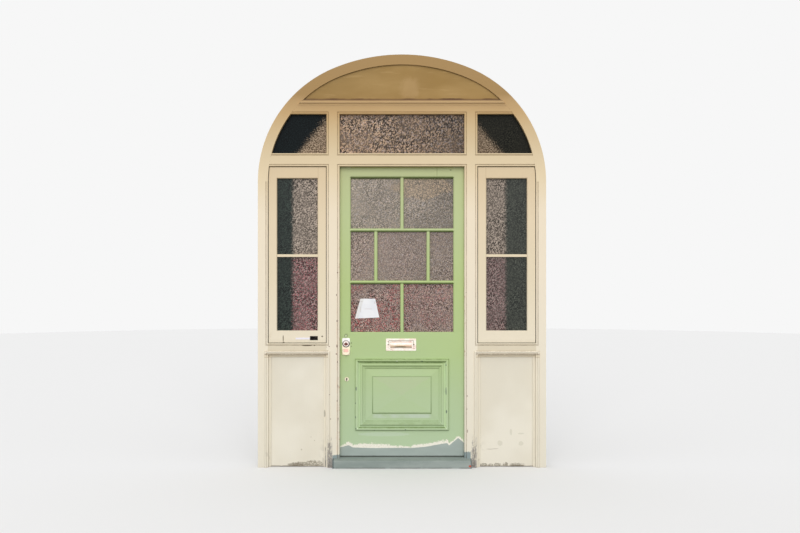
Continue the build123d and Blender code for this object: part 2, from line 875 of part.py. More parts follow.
# Rails between the stiles
with BuildPart() as top_rail:
    block((-glazed_half, glazed_half), leaf_y, (glazed_high, leaf_high))
    glaze_cut(["top_left", "top_right"])
finish(top_rail.part, "top_rail")

flap_half = slot_width / 2 + flap_cover
rail_slot_half = flap_half + lug_width + rail_slot_clear
rail_slot_rise = slot_height / 2 + flap_cover + rail_slot_clear
lock_rail_outline = [
    (-panel_half, panel_high),
    (panel_half, panel_high),
    (glazed_half, glazed_low),
    (-glazed_half, glazed_low),
]
with BuildPart() as lock_rail:
    prism(lock_rail_outline, leaf_y)
    cut_panel_groove()
    glaze_cut(["bottom_left", "bottom_right"])
    block(centred(letter_x, 2 * rail_slot_half), leaf_y, centred(letter_z, 2 * rail_slot_rise),
          Mode.SUBTRACT)
finish(lock_rail.part, "lock_rail")

with BuildPart() as bottom_rail:
    block((-panel_half, panel_half), leaf_y, (leaf_low, panel_low))
    cut_panel_groove()
finish(bottom_rail.part, "bottom_rail")

# Glazing bars: two across the door, four upright pieces between them
with BuildPart() as upper_glazing_bar:
    block((-glazed_half, glazed_half), leaf_y, (middle_high, top_low))
    glaze_cut(["top_left", "top_right", "middle_left", "middle_centre", "middle_right"])
finish(upper_glazing_bar.part, "upper_glazing_bar")

with BuildPart() as lower_glazing_bar:
    block((-glazed_half, glazed_half), leaf_y, (lower_edge, middle_low))
    glaze_cut(["bottom_left", "bottom_right", "middle_left", "middle_centre", "middle_right"])
finish(lower_glazing_bar.part, "lower_glazing_bar")

with BuildPart() as upright_glazing_bars:
    block((-half_bar, half_bar), leaf_y, (top_low, glazed_high))
    block((-half_bar, half_bar), leaf_y, (glazed_low, lower_edge))
    for side in (-1, 1):
        block(span(side, centre_half, side_near), leaf_y, (middle_low, middle_high))
    glaze_cut(panes)
finish(upright_glazing_bars.part, "upright_glazing_bars")

# Panes against their rebates, and the beads behind them
pane_y = (door_glass_face, door_glass_face + glass_thick)
pane_groups = {
    "top_panes": ["top_left", "top_right"],
    "middle_left_pane": ["middle_left"],
    "middle_centre_pane": ["middle_centre"],
    "middle_right_pane": ["middle_right"],
    "bottom_panes": ["bottom_left", "bottom_right"],
}
for node, names in pane_groups.items():
    with BuildPart() as pane:
        for name in names:
            x_span, z_span = panes[name]
            block(grown(x_span, glass_cover), pane_y, grown(z_span, glass_cover))
    finish(pane.part, node)

with BuildPart() as door_glazing_beads:
    for x_span, z_span in panes.values():
        bead_ring(x_span, (pane_y[1], pane_y[1] + glazing_bead_thick), z_span, glass_cover)
finish(door_glazing_beads.part, "door_glazing_beads")

# Raised and fielded panel, its tongue held in the grooves of the frame
margin_sink = bolection_width - bolection_lap
margin_x = grown(panel_x, -margin_sink)
margin_z = grown(panel_z, -margin_sink)
with BuildPart() as door_panel:
    tongue = panel_groove - panel_fit
    block(grown(panel_x, tongue), groove_y, grown(panel_z, tongue))
    block(grown(panel_x, -panel_fit), (groove_y[1], leaf_face + panel_back_sink), grown(panel_z, -panel_fit))
    with BuildSketch(face_plane(groove_face)) as margin_foot:
        with Locations((0, sum(margin_z) / 2)):
            Rectangle(margin_x[1] - margin_x[0], margin_z[1] - margin_z[0])
    with BuildSketch(face_plane(leaf_face + field_sink + field_step)) as margin_top:
        with Locations((0, (field_low + field_high) / 2)):
            Rectangle(2 * field_half, field_high - field_low)
    loft(sections=[margin_foot.sketch, margin_top.sketch])
    block((-field_half, field_half), (leaf_face + field_sink, groove_face), (field_low, field_high))
finish(door_panel.part, "door_panel")

# Bolection moulding, lapping the frame and lying on the panel
mould_inner = bolection_lap - bolection_width
torus_near = bolection_lap - bolection_torus
torus_foot = leaf_face - bolection_proud / 2
torus_start = (bolection_lap, torus_foot)
torus_crown = (bolection_lap - bolection_torus / 2, leaf_face - bolection_proud)
torus_end = (torus_near, torus_foot)
roll_start = (torus_near - roll_start_gap, leaf_face + roll_start_sink)
roll_end = (mould_inner + roll_end_gap, leaf_face + inner_bead_sink)
roll_crown = ((roll_start[0] + roll_end[0]) / 2 - roll_lead, leaf_face - roll_proud)
undercut = [torus_end, (torus_near - torus_undercut, leaf_face + roll_start_sink), roll_start]
face_and_back = [
    roll_end,
    (mould_inner + inner_bead_arris, leaf_face + inner_bead_sink),
    (mould_inner, leaf_face + inner_edge_sink),
    (mould_inner, groove_face),
    (0, groove_face),
    (0, leaf_face),
    (bolection_lap, leaf_face),
    torus_start,
]
torus = (torus_start, torus_crown, torus_end)
roll = (roll_start, roll_crown, roll_end)
panel_path = rectangle_path(panel_x, panel_z)
panel_moulding = worked_mould(panel_path, True, [undercut, face_and_back], [torus, roll])
finish(panel_moulding, "panel_moulding")

# Butt hinges: plates let into the post and the stile, knuckles on one axis
knuckle_length = (hinge_length - knuckle_gap * (hinge_knuckles - 1)) / hinge_knuckles


def hinge_plates(side, bore_radius, own_knuckles, depth_span):
    # One leaf of every hinge, side 1 on the post and side -1 on the door
    plate_x = centred(hinge_axis_x + side * (hinge_parting + hinge_plate) / 2, hinge_plate)
    for height in hinge_heights:
        foot = height - hinge_length / 2
        block(plate_x, depth_span, (foot, foot + hinge_length))
        for number in own_knuckles:
            low = foot + number * (knuckle_length + knuckle_gap)
            block(plate_x, (depth_span[1], hinge_axis_y), (low, low + knuckle_length))
            with BuildSketch(Plane.XY.offset(low)) as barrel:
                with Locations((hinge_axis_x, hinge_axis_y)):
                    Circle(hinge_knuckle_radius)
            extrude(barrel.sketch, amount=knuckle_length)
        with BuildSketch(Plane.XY.offset(foot)) as bore:
            with Locations((hinge_axis_x, hinge_axis_y)):
                Circle(bore_radius)
        extrude(bore.sketch, amount=hinge_length, mode=Mode.SUBTRACT)


with BuildPart() as hinge_frame_leaves:
    let_in = (hinge_axis_y - hinge_leaf_depth, frame_depth)
    hinge_plates(1, hinge_pin_radius, range(0, hinge_knuckles, 2), let_in)
finish(hinge_frame_leaves.part, "hinge_frame_leaves")

with BuildPart() as hinge_door_leaves:
    let_in = (hinge_axis_y - hinge_leaf_depth, leaf_back)
    running_bore = hinge_pin_radius + hinge_pin_running
    hinge_plates(-1, running_bore, range(1, hinge_knuckles, 2), let_in)
finish(hinge_door_leaves.part, "hinge_door_leaves")

with BuildPart() as hinge_pins:
    for height in hinge_heights:
        foot = height - hinge_length / 2
        with BuildSketch(Plane.XY.offset(foot)) as shank:
            with Locations((hinge_axis_x, hinge_axis_y)):
                Circle(hinge_pin_radius)
        extrude(shank.sketch, amount=hinge_length)
finish(hinge_pins.part, "hinge_pins")

# Letter plate with lugs behind it for the flap's trunnions
lug_near = flap_half + lug_clear
pivot_y = leaf_face + flap_gap + flap_knuckle_radius
pivot_z = letter_z + slot_height / 2 + flap_knuckle_radius
with BuildPart() as letter_plate:
    with BuildSketch(face_plane(leaf_face - plate_thick)) as outline:
        with Locations((letter_x, letter_z)):
            RectangleRounded(plate_width, plate_height, plate_corner)
            Rectangle(slot_width, slot_height, mode=Mode.SUBTRACT)
    extrude(outline.sketch, amount=-plate_thick)
    front = letter_plate.faces().sort_by(Axis.Y)[0]
    chamfer(front.outer_wire().edges(), length=plate_bevel)
    for side in (-1, 1):
        lug_middle = letter_x + side * (lug_near + lug_width / 2)
        block(centred(lug_middle, lug_width), (leaf_face, pivot_y + flap_knuckle_radius + lug_cover),
              centred(pivot_z, 2 * lug_rise))
    with BuildSketch(Plane.YZ.offset(letter_x)) as bore:
        with Locations((pivot_y, pivot_z)):
            Circle(flap_trunnion_radius + trunnion_running)
    extrude(bore.sketch, amount=lug_near + 2 * lug_width, both=True, mode=Mode.SUBTRACT)
finish(letter_plate.part, "letter_plate")

# Flap hung inside the plate, its bowed face standing in the slot
with BuildPart() as letter_flap:
    flap_y = leaf_face + flap_gap
    flap_back = flap_y + flap_thick
    flap_foot = letter_z - slot_height / 2 - flap_cover
    with BuildSketch(Plane.YZ.offset(letter_x)) as section:
        with Locations((pivot_y, pivot_z)):
            Circle(flap_knuckle_radius)
        with BuildLine():
            Polyline((flap_y, pivot_z), (flap_y, flap_foot), (flap_back, flap_foot), (flap_back, pivot_z),
                     close=True)
        make_face()
    extrude(section.sketch, amount=flap_half, both=True)
    bow_rise = slot_height / 2 - flap_play
    with BuildSketch(Plane.YZ.offset(letter_x)) as bow:
        with BuildLine():
            bow_high = (flap_y, letter_z + bow_rise)
            bow_low = (flap_y, letter_z - bow_rise)
            ThreePointArc(bow_high, (flap_y - flap_bulge, letter_z), bow_low)
            Line(bow_low, bow_high)
        make_face()
    extrude(bow.sketch, amount=slot_width / 2 - flap_play, both=True)
    with BuildSketch(Plane.YZ.offset(letter_x)) as hollow:
        with BuildLine():
            hollow_high = (flap_back, letter_z + bow_rise - flap_thick)
            hollow_low = (flap_back, letter_z - bow_rise + flap_thick)
            ThreePointArc(hollow_high, (flap_back - flap_bulge, letter_z), hollow_low)
            Line(hollow_low, hollow_high)
        make_face()
    extrude(hollow.sketch, amount=slot_width / 2 - flap_play - flap_thick, both=True, mode=Mode.SUBTRACT)
    with BuildSketch(Plane.YZ.offset(letter_x)) as trunnion:
        with Locations((pivot_y, pivot_z)):
            Circle(flap_trunnion_radius)
    extrude(trunnion.sketch, amount=lug_near + lug_width, both=True)
finish(letter_flap.part, "letter_flap")

# Cylinder pull: plate round the lock cylinder with a hollowed finger grip below
pull_face = leaf_face - pull_thick
grip_high = cylinder_z - pull_bottom + pull_lip_height
grip_face = pull_face - pull_lip
with BuildPart() as cylinder_pull:
    with BuildSketch(face_plane(pull_face)) as outline:
        with Locations((cylinder_x, cylinder_z + (pull_top - pull_bottom) / 2)):
            Rectangle(pull_width, pull_top + pull_bottom)
        fillet(outline.vertices().group_by(Axis.Z)[-1], radius=pull_top_corner)
        fillet(outline.vertices().group_by(Axis.Z)[0], radius=pull_foot_corner)
    extrude(outline.sketch, amount=-pull_thick)
    with BuildSketch(face_plane(grip_face)) as grip:
        with Locations((cylinder_x, grip_high - pull_lip_height / 2)):
            Rectangle(pull_width, pull_lip_height)
        fillet(grip.vertices().group_by(Axis.Z)[0], radius=pull_foot_corner)
    extrude(grip.sketch, amount=-pull_lip)
    grip_front = cylinder_pull.faces().sort_by(Axis.Y)[0]
    chamfer(grip_front.edges(), length=grip_bevel)
    block(centred(cylinder_x, finger_width), (grip_face, pull_face - finger_web),
          (grip_high - finger_height, grip_high), Mode.SUBTRACT)
    round_piece((cylinder_x, cylinder_z), cylinder_bore, (pull_face, leaf_face), Mode.SUBTRACT)
finish(cylinder_pull.part, "cylinder_pull")

# Lock cylinder with its ring, and the plug that the key turns in it
ring_face = pull_face - cylinder_ring_height
with BuildPart() as lock_cylinder:
    round_piece((cylinder_x, cylinder_z), cylinder_ring_radius, (ring_face, pull_face))
    chamfer(lock_cylinder.edges().group_by(Axis.Y)[0], length=ring_bevel)
    round_piece((cylinder_x, cylinder_z), cylinder_radius, (pull_face, leaf_back))
    dish_y = (ring_face, ring_face + plug_sink)
    round_piece((cylinder_x, cylinder_z), ring_dish_radius, dish_y, Mode.SUBTRACT)
    plug_bore = plug_radius + plug_running
    round_piece((cylinder_x, cylinder_z), plug_bore, (ring_face, leaf_back), Mode.SUBTRACT)
finish(lock_cylinder.part, "lock_cylinder")

with BuildPart() as cylinder_plug:
    round_piece((cylinder_x, cylinder_z), plug_radius, (ring_face + plug_sink, leaf_back - latch_fit))
    block(centred(cylinder_x, keyway_width), (ring_face, ring_face + keyway_depth),
          centred(cylinder_z, keyway_height), Mode.SUBTRACT)
finish(cylinder_plug.part, "cylinder_plug")

# Night latch on the inner face of the lock stile
case_y = (leaf_back, leaf_back + latch_thick)
latch_y = (leaf_back + latch_bolt_sink, leaf_back + latch_bolt_sink + latch_bolt_thick)
bolt_tip = latch_fit - leaf_out
bolt_tail = bolt_tip + latch_bolt_length
snib_slot_x = (bolt_tail - snib_slot_length, bolt_tail)
snib_z = cylinder_z + snib_offset_z
with BuildPart() as night_latch_case:
    block((-leaf_out, latch_width - leaf_out), case_y, centred(cylinder_z, latch_height))
    inner_edges = night_latch_case.faces().sort_by(Axis.Y)[-1].edges()
    fillet(inner_edges, radius=case_round)
    block((-leaf_out, bolt_tail + latch_fit), grown(latch_y, latch_fit),
          grown(centred(cylinder_z, latch_bolt_height), latch_fit), Mode.SUBTRACT)
    neck_bore = knob_neck_radius + plug_running
    round_piece((cylinder_x, cylinder_z), neck_bore, (case_y[1] - knob_seat, case_y[1]), Mode.SUBTRACT)
    block(snib_slot_x, (case_y[1] - snib_sink - latch_fit, case_y[1]), centred(snib_z, snib_slot_width),
          Mode.SUBTRACT)
finish(night_latch_case.part, "night_latch_case")

# Latch bolt with its face sloped to ride over the staple
with BuildPart() as latch_bolt:
    with BuildSketch(Plane.XY.offset(cylinder_z - latch_bolt_height / 2)) as section:
        with BuildLine():
            Polyline(
                (bolt_tip, latch_y[1]),
                (bolt_tip, latch_y[1] - bolt_nose),
                (bolt_tip + latch_travel - bolt_nose, latch_y[0]),
                (bolt_tail, latch_y[0]),
                (bolt_tail, latch_y[1]),
                close=True,
            )
        make_face()
    extrude(section.sketch, amount=latch_bolt_height)
finish(latch_bolt.part, "latch_bolt")

# Knob that draws the latch bolt, and the snib that holds it
with BuildPart() as latch_knob:
    neck_end = case_y[1] + knob_neck_length
    neck_y = (case_y[1] - knob_seat + latch_fit, neck_end)
    round_piece((cylinder_x, cylinder_z), knob_neck_radius, neck_y)
    with BuildSketch(face_plane(neck_end)) as turn:
        with Locations((cylinder_x, cylinder_z)):
            SlotOverall(2 * knob_radius, knob_waist, rotation=90)
    extrude(turn.sketch, amount=knob_neck_length - knob_length)
    chamfer(latch_knob.edges().group_by(Axis.Y)[-1], length=knob_bevel)
finish(latch_knob.part, "latch_knob")

with BuildPart() as snib:
    snib_rest = snib_slot_x[1] - latch_fit - snib_length
    block((snib_rest, snib_rest + snib_length), (case_y[1] - snib_sink, case_y[1] + snib_proud),
          centred(snib_z, snib_width))
    fillet(snib.edges().group_by(Axis.Y)[-1], radius=snib_round)
finish(snib.part, "snib")

# Staple on the post that takes the latch bolt
staple_x = (-leaf_out - staple_gap - staple_width, -leaf_out - staple_gap)
with BuildPart() as latch_staple:
    block(staple_x, (frame_depth, frame_depth + staple_thick), centred(cylinder_z, staple_height))
    fillet(latch_staple.faces().sort_by(Axis.Y)[-1].edges(), radius=case_round)
    mouth_y = (frame_depth + staple_foot, frame_depth + staple_thick - staple_wall)
    block((staple_x[0] + staple_wall, staple_x[1]), mouth_y, centred(cylinder_z, staple_mouth_height),
          Mode.SUBTRACT)
finish(latch_staple.part, "latch_staple")

# Mortice deadlock in the lock stile, its bolt, striking plate and escutcheons
dead_bolt_y = centred(lock_y, dead_bolt_thick)
dead_bolt_rises = centred(dead_bolt_z, dead_bolt_height)
with BuildPart() as dead_lock_case:
    lock_case_y = centred(lock_y, lock_case_thick)
    block((-leaf_out, lock_case_length - leaf_out), lock_case_y, centred(lock_case_z, lock_case_height))
    block((-leaf_out, bolt_tip + dead_bolt_length + latch_fit), grown(dead_bolt_y, latch_fit),
          grown(dead_bolt_rises, latch_fit), Mode.SUBTRACT)
    keyhole(lock_case_y)
finish(dead_lock_case.part, "dead_lock_case")

with BuildPart() as dead_bolt:
    block((bolt_tip, bolt_tip + dead_bolt_length), dead_bolt_y, dead_bolt_rises)
finish(dead_bolt.part, "dead_bolt")

with BuildPart() as dead_bolt_striker:
    plate_x = (-rebate_half - striker_thick, -rebate_half)
    block(plate_x, centred(lock_y, striker_width), centred(dead_bolt_z, striker_height))
    block(plate_x, centred(lock_y, bolt_hole_depth), centred(dead_bolt_z, bolt_hole_height), Mode.SUBTRACT)
finish(dead_bolt_striker.part, "dead_bolt_striker")

with BuildPart() as keyhole_escutcheons:
    outer_plate = (leaf_face - escutcheon_thick, leaf_face)
    inner_plate = (leaf_back, leaf_back + escutcheon_thick)
    round_piece((keyhole_x, keyhole_z), escutcheon_radius, outer_plate)
    chamfer(keyhole_escutcheons.edges().group_by(Axis.Y)[0], length=plate_bevel)
    round_piece((keyhole_x, keyhole_z), escutcheon_radius, inner_plate)
    keyhole((outer_plate[0], inner_plate[1]))
finish(keyhole_escutcheons.part, "keyhole_escutcheons")

# Note fixed to the face of a bottom pane
with BuildPart() as paper_note:
    note_outline = [(across - glazed_half, glazed_low + rise) for across, rise in note_corners]
    prism(note_outline, (door_glass_face - note_thick, door_glass_face))
finish(paper_note.part, "paper_note")
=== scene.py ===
import math

import bpy
from bpy.props import FloatProperty, FloatVectorProperty, IntProperty, PointerProperty
from mathutils import Matrix, Vector


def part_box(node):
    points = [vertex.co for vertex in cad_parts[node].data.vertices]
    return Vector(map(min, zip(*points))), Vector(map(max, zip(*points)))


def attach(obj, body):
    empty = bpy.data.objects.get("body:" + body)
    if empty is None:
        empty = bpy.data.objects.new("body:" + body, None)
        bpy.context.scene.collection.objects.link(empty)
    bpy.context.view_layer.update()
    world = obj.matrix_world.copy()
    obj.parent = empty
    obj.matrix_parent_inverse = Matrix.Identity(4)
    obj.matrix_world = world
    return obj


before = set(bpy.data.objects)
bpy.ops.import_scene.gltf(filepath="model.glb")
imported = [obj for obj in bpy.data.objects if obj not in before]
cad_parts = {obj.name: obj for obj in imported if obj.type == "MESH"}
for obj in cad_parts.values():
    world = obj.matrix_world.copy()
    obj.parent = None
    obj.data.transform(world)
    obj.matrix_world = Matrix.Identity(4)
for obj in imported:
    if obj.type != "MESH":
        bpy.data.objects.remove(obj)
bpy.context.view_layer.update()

bl_info = {
    "name": "Panelled Front Door",
    "version": (1, 0, 0),
    "blender": (4, 5, 0),
    "location": "3D Viewport > Sidebar > Door Screen",
    "description": "Finishes, fixings and stage for a panelled front door in an arched timber screen",
    "category": "Object",
}

# Scale of the photograph at the outer face of the screen, and its centre lines
METRES_PER_PIXEL = 0.0065
PHOTO_WIDTH = 800
PHOTO_HEIGHT = 533
DOOR_CENTRE_PIXEL = 402.0
FLOOR_PIXEL = 467.5
CAMERA_DISTANCE = 7.0
SENSOR_WIDTH = 36.0

# Depths behind the outer face of the screen
THRESHOLD_DEPTH = -0.04
SASH_DEPTH = 0.01
ARCH_DEPTH = 0.014
BOARD_DEPTH = 0.03
FANLIGHT_DEPTH = 0.04
DOOR_DEPTH = 0.05
NOTE_DEPTH = 0.07
INSIDE_DEPTH = 0.075

# Lines that marks follow: distances from the centre line
DOOR_GLASS_HALF = 0.35
POST_ARRIS = 0.406
PINK_EDGE = (-0.4265, -0.4185)
POST_BACK = 0.45
POST_CRACKS = (0.453, 0.485)
SIDE_MOULDING = 0.48
SIDE_GROOVE = 0.4985
BOARD_EDGE = 0.505
SASH_JOINT = 0.546
BOARD_CRACK = (0.555, 0.625)
NOTE_FOLD = (-0.245, -0.198)

# Lines that marks follow: heights above the floor
LEFT_FOOT_PAINT = 0.081
RIGHT_FOOT_PAINT = 0.101
SASH_BAR = 1.37
TOP_PANE_MIDDLE = 1.72
SASH_TOP_RAIL = 1.874
ARCH_FOOT = 2.399

# Left edge of the note: its place across and up at the foot, and its lean
NOTE_EDGE, NOTE_FOOT, NOTE_LEAN = -0.292, 0.965, 0.30

# Rows, columns and places in the photograph, in pixels
HEAD_CRACK_ROW, HEAD_LIGHT_TOP, HEAD_LIGHT_FOOT = 100.9, 101.8, 105.4
RAIL_TAN_TOP, RAIL_TAN_FOOT = 355.2, 357.4
BOARD_CRACK_ROW = 449.0
NOTE_FOLD_ROW = 309.0
LEFT_STRIP_COLUMN, RIGHT_STRIP_COLUMN = 293.0, 505.5
ARCH_PATCH = (409.5, 88.0)
DOOR_PLUG = (345.9, 335.9)
FIELD_LOW, FIELD_HIGH = (372.6, 413.6), (431.1, 376.6)
SILL_CHIP = (470.0, 466.2)
SASH_STRIP = ((295.6, 339.4), (309.8, 337.6))
SASH_PLATE = ((310.0, 340.1), (317.8, 336.1))

# Brown corners of the side fanlights, each from its high inner end to its low outer end; the rest of each
# pane is near-black painted shade of the arch
LEFT_CORNER = ((326.5, 118.5), (300.0, 151.5))
RIGHT_CORNER = ((477.6, 125.0), (500.5, 151.5))

# Thickness of the strip and the plate on the left sash, and the easing of their edges
STRIP_THICKNESS = 0.0012
PLATE_THICKNESS = 0.0025
EASED_SHARE = 0.4

# Hinge leaves: the gap between them, half their height and the places of their screws
HINGE_PARTING = 0.001
HINGE_HALF = 0.05
HINGE_SCREW_RISE = 0.034
HINGE_SCREW_NEAR = 0.012
HINGE_SCREW_FAR = 0.023
STRIKER_SCREW_INSET = 0.009
HEAD_RISE_SHARE = 0.4
FLUSH_RISE = 0.0004

# Levers behind the keyhole of the deadlock
LEVER_RADIUS = 0.0095
LEVER_THICKNESS = 0.002
LEVER_DROP = 0.004

# Stage
FLOOR_RADIUS = 16.0
FLOOR_SEEN = 0.83
FLOOR_LIT = 0.26
SKY_SEEN = 0.93
SKY_LOW, SKY_HIGH = -0.1, 0.8
SKY_LEAN = 0.2
SUN_DIRECTION = (0.0, 1.0, -0.32)
SUN_SPREAD = 45.0


def photo_place(pixel_x, pixel_y, depth=0.0):
    """Turn a place in the photograph into X and Z at a depth behind the outer face."""
    spread = (CAMERA_DISTANCE + depth) / CAMERA_DISTANCE * METRES_PER_PIXEL
    eye_x = (PHOTO_WIDTH / 2 - DOOR_CENTRE_PIXEL) * METRES_PER_PIXEL
    eye_z = (FLOOR_PIXEL - PHOTO_HEIGHT / 2) * METRES_PER_PIXEL
    return (eye_x + (pixel_x - PHOTO_WIDTH / 2) * spread, eye_z + (PHOTO_HEIGHT / 2 - pixel_y) * spread)


def photo_height(pixel_y, depth=0.0):
    """Height of one row of the photograph at a depth behind the outer face."""
    return photo_place(DOOR_CENTRE_PIXEL, pixel_y, depth)[1]


def core_of(node):
    """Depth of the middle of a CAD node's thickness."""
    low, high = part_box(node)
    return (low[1] + high[1]) / 2


def face_of(node):
    """Lowest and highest corners of a CAD node seen from the front, as X and Z."""
    return [(corner[0], corner[2]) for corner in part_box(node)]


def centre_of(node):
    """X and Z of the middle of a CAD node."""
    low, high = face_of(node)
    return ((low[0] + high[0]) / 2, (low[1] + high[1]) / 2)


def linear(colour):
    """Make a tuple of display channels, 0 to 255, linear, and leave any other colour as it is."""
    if not isinstance(colour, tuple):
        return colour
    shares = [channel / 255 for channel in colour]
    return [share / 12.92 if share <= 0.04045 else ((share + 0.055) / 1.055) ** 2.4 for share in shares]


# Node maths

def operation(kind, turned=False):
    """Write one Python operator as a Math node, with its two sides changed over if asked."""
    def work(self, other):
        return self.maths(kind, other, self) if turned else self.maths(kind, self, other)
    return work


class Wire:
    """One output of a node, so that shader maths is written as Python expressions."""

    __add__, __radd__ = operation("ADD"), operation("ADD", turned=True)
    __sub__, __rsub__ = operation("SUBTRACT"), operation("SUBTRACT", turned=True)
    __mul__, __rmul__ = operation("MULTIPLY"), operation("MULTIPLY", turned=True)
    __truediv__ = operation("DIVIDE")
    __pow__ = operation("POWER")
    most = operation("MAXIMUM")

    def __init__(self, graph, socket):
        self.graph = graph
        self.socket = socket

    def __abs__(self):
        return self.maths("ABSOLUTE", self)

    def maths(self, kind, *values):
        """Add a Math node that works on these values."""
        return self.graph.add("ShaderNodeMath", {"operation": kind}, dict(enumerate(values)))

    def rise(self, low, high):
        """A mask that climbs smoothly from 0 at low to 1 at high."""
        ends = {"Value": self, "From Min": low, "From Max": high}
        return self.graph.add("ShaderNodeMapRange", {"interpolation_type": "SMOOTHSTEP"}, ends)

    def fall(self, low, high):
        """A mask that drops smoothly from 1 at low to 0 at high."""
        return 1.0 - self.rise(low, high)

    def past(self, edge, soft):
        """A mask that is 1 past an edge, with a soft step."""
        return self.rise(edge - soft, edge + soft)

    def short(self, edge, soft):
        """A mask that is 1 short of an edge, with a soft step."""
        return self.fall(edge - soft, edge + soft)

    def band(self, low, high, soft):
        """A mask that is 1 between two values, with soft ends."""
        return self.past(low, soft) * self.short(high, soft)


class Graph:
    """The node tree of a material or a world, and helpers that add to it."""

    def __init__(self, owner):
        owner.use_nodes = True
        self.nodes = owner.node_tree.nodes
        self.links = owner.node_tree.links
        self.nodes.clear()

    def fill(self, socket, value):
        """Link a wire to a socket, or set the socket's own value."""
        if isinstance(value, Wire):
            self.links.new(value.socket, socket)
        elif socket.type == "RGBA":
            socket.default_value = (*linear(value), 1.0)
        else:
            socket.default_value = value

    def make(self, kind, settings=None, values=None):
        """Add a node of any type, set it and fill its sockets."""
        node = self.nodes.new(kind)
        for setting, value in (settings or {}).items():
            setattr(node, setting, value)
        for key, value in (values or {}).items():
            self.fill(node.inputs[key], value)
        return node

    def add(self, kind, settings=None, values=None, output=0):
        """Add a node and return one of its outputs."""
        return Wire(self, self.make(kind, settings, values).outputs[output])

    def split(self, vector):
        """The three parts of a vector or a colour."""
        return [Wire(self, part) for part in self.make("ShaderNodeSeparateXYZ", None, {0: vector}).outputs]

    def seen_by(self, *kinds):
        """1 for rays of these kinds, and 0 for any other."""
        path = self.make("ShaderNodeLightPath")
        seen, *others = [Wire(self, path.outputs[f"Is {kind} Ray"]) for kind in kinds]
        for other in others:
            seen = seen.most(other)
        return seen


class Finish(Graph):
    """A material with one Principled surface, whose colour is laid on coat by coat."""

    def __init__(self, name):
        self.material = bpy.data.materials.new(name)
        super().__init__(self.material)
        self.surface = self.make("ShaderNodeBsdfPrincipled")
        self.make("ShaderNodeOutputMaterial", None, {"Surface": Wire(self, self.surface.outputs["BSDF"])})
        self.place = self.add("ShaderNodeTexCoord", output="Object")
        self.x, self.y, self.z = self.split(self.place)

    def mix(self, factor, under, over):
        """Lay one colour over another by a mask."""
        return self.add("ShaderNodeMix", {"data_type": "RGBA"}, {0: factor, 6: under, 7: over}, output=2)

    def lay(self, mask, tone):
        """Lay a tone over the colour so far."""
        self.colour = self.mix(mask, self.colour, tone)

    def mark(self, mask, tone):
        """Lay a tone over the colour so far, on the outer faces only."""
        self.lay(mask * self.front, tone)

    def pair(self, mask, under, over):
        """Lay a dark and a light tone over two others by one mask."""
        return [self.mix(mask, *tones) for tones in zip(under, over)]

    def scaled(self, colour, amount):
        """Multiply a colour by a value."""
        values = {0: linear(colour), "Scale": amount}
        return self.add("ShaderNodeVectorMath", {"operation": "SCALE"}, values)

    def stretched(self, scale, turn=0.0):
        """Object coordinates turned in the plane of the door, then multiplied on each axis."""
        spans = tuple(1.0 / share for share in scale)
        values = {"Vector": self.place, "Scale": spans, "Rotation": (0.0, turn, 0.0)}
        return self.add("ShaderNodeMapping", {"vector_type": "TEXTURE"}, values)

    def noise(self, scale, detail=3.0, roughness=0.5, place=None, distortion=0.0):
        """Noise from 0 to 1, on object coordinates unless a place is given."""
        values = {"Vector": place or self.place, "Scale": scale, "Detail": detail}
        values.update(Roughness=roughness, Distortion=distortion)
        return self.add("ShaderNodeTexNoise", None, values)

    def stray(self, spread, scale, detail=3.0, roughness=0.5):
        """Noise about zero, which makes an edge ragged or a line wander."""
        return (self.noise(scale, detail, roughness) - 0.5) * spread

    def ramp(self, value, stops, low, high):
        """A colour that follows a value between two ends, through (value, colour) stops."""
        node = self.make("ShaderNodeValToRGB", None, {"Fac": (value - low) / (high - low)})
        elements = node.color_ramp.elements
        elements.remove(elements[-1])
        for number, (stop, colour) in enumerate(stops):
            share = (stop - low) / (high - low)
            element = elements.new(share) if number else elements[0]
            element.position = share
            element.color = (*linear(colour), 1.0)
        return Wire(self, node.outputs["Color"])

    def outside(self, depth=INSIDE_DEPTH):
        """A mask for the part of the timber that faces outwards."""
        return self.y.short(depth, 0.002)

    def radius(self, centre):
        """Distance from a centre in the plane of the door."""
        across, upward = self.x - centre[0], self.z - centre[1]
        return (across * across + upward * upward) ** 0.5

    def beyond(self, low, high):
        """How far a place lies beyond the sides, and beyond the top or foot, of a rectangle."""
        return [abs(axis - (first + last) / 2) - (last - first) / 2
                for axis, first, last in zip((self.x, self.z), low, high)]

    def spot(self, centre, radii, ragged):
        """A ragged spot in the plane of the door, 1 inside and 0 outside."""
        across = (self.x - centre[0]) / radii[0]
        upward = (self.z - centre[1]) / radii[1]
        return (across * across + upward * upward + ragged).fall(0.7, 1.2)

    def spots(self, places, depth, ragged):
        """Ragged spots at places in the photograph, as (x, y, half width, half height) in pixels."""
        mask = None
        for pixel_x, pixel_y, half_width, half_height in places:
            radii = (half_width * METRES_PER_PIXEL, half_height * METRES_PER_PIXEL)
            one = self.spot(photo_place(pixel_x, pixel_y, depth), radii, ragged)
            mask = one if mask is None else mask.most(one)
        return mask

    def hollows(self, distance):
        """How much a place is shut in by what is round it, 0 in the open."""
        values = {"Distance": distance}
        return 1.0 - self.add("ShaderNodeAmbientOcclusion", {"samples": 8}, values, output="AO")

    def finish(self, roughness, height=None, bump=0.1, depth=0.001, metallic=0.0, gloss=0.5):
        """Fill the surface's colour, roughness and relief, and its constant values."""
        values = {"Base Color": self.colour, "Roughness": roughness, "Metallic": metallic}
        values["Specular IOR Level"] = gloss
        if height is not None:
            relief = {"Height": height, "Strength": bump, "Distance": depth}
            values["Normal"] = self.add("ShaderNodeBump", None, relief)
        for key, value in values.items():
            self.fill(self.surface.inputs[key], value)
        return self.material


def clothe(material, names):
    """Give CAD nodes one material."""
    for name in names.split():
        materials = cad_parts[name].data.materials
        materials.clear()
        materials.append(material)


# Settings

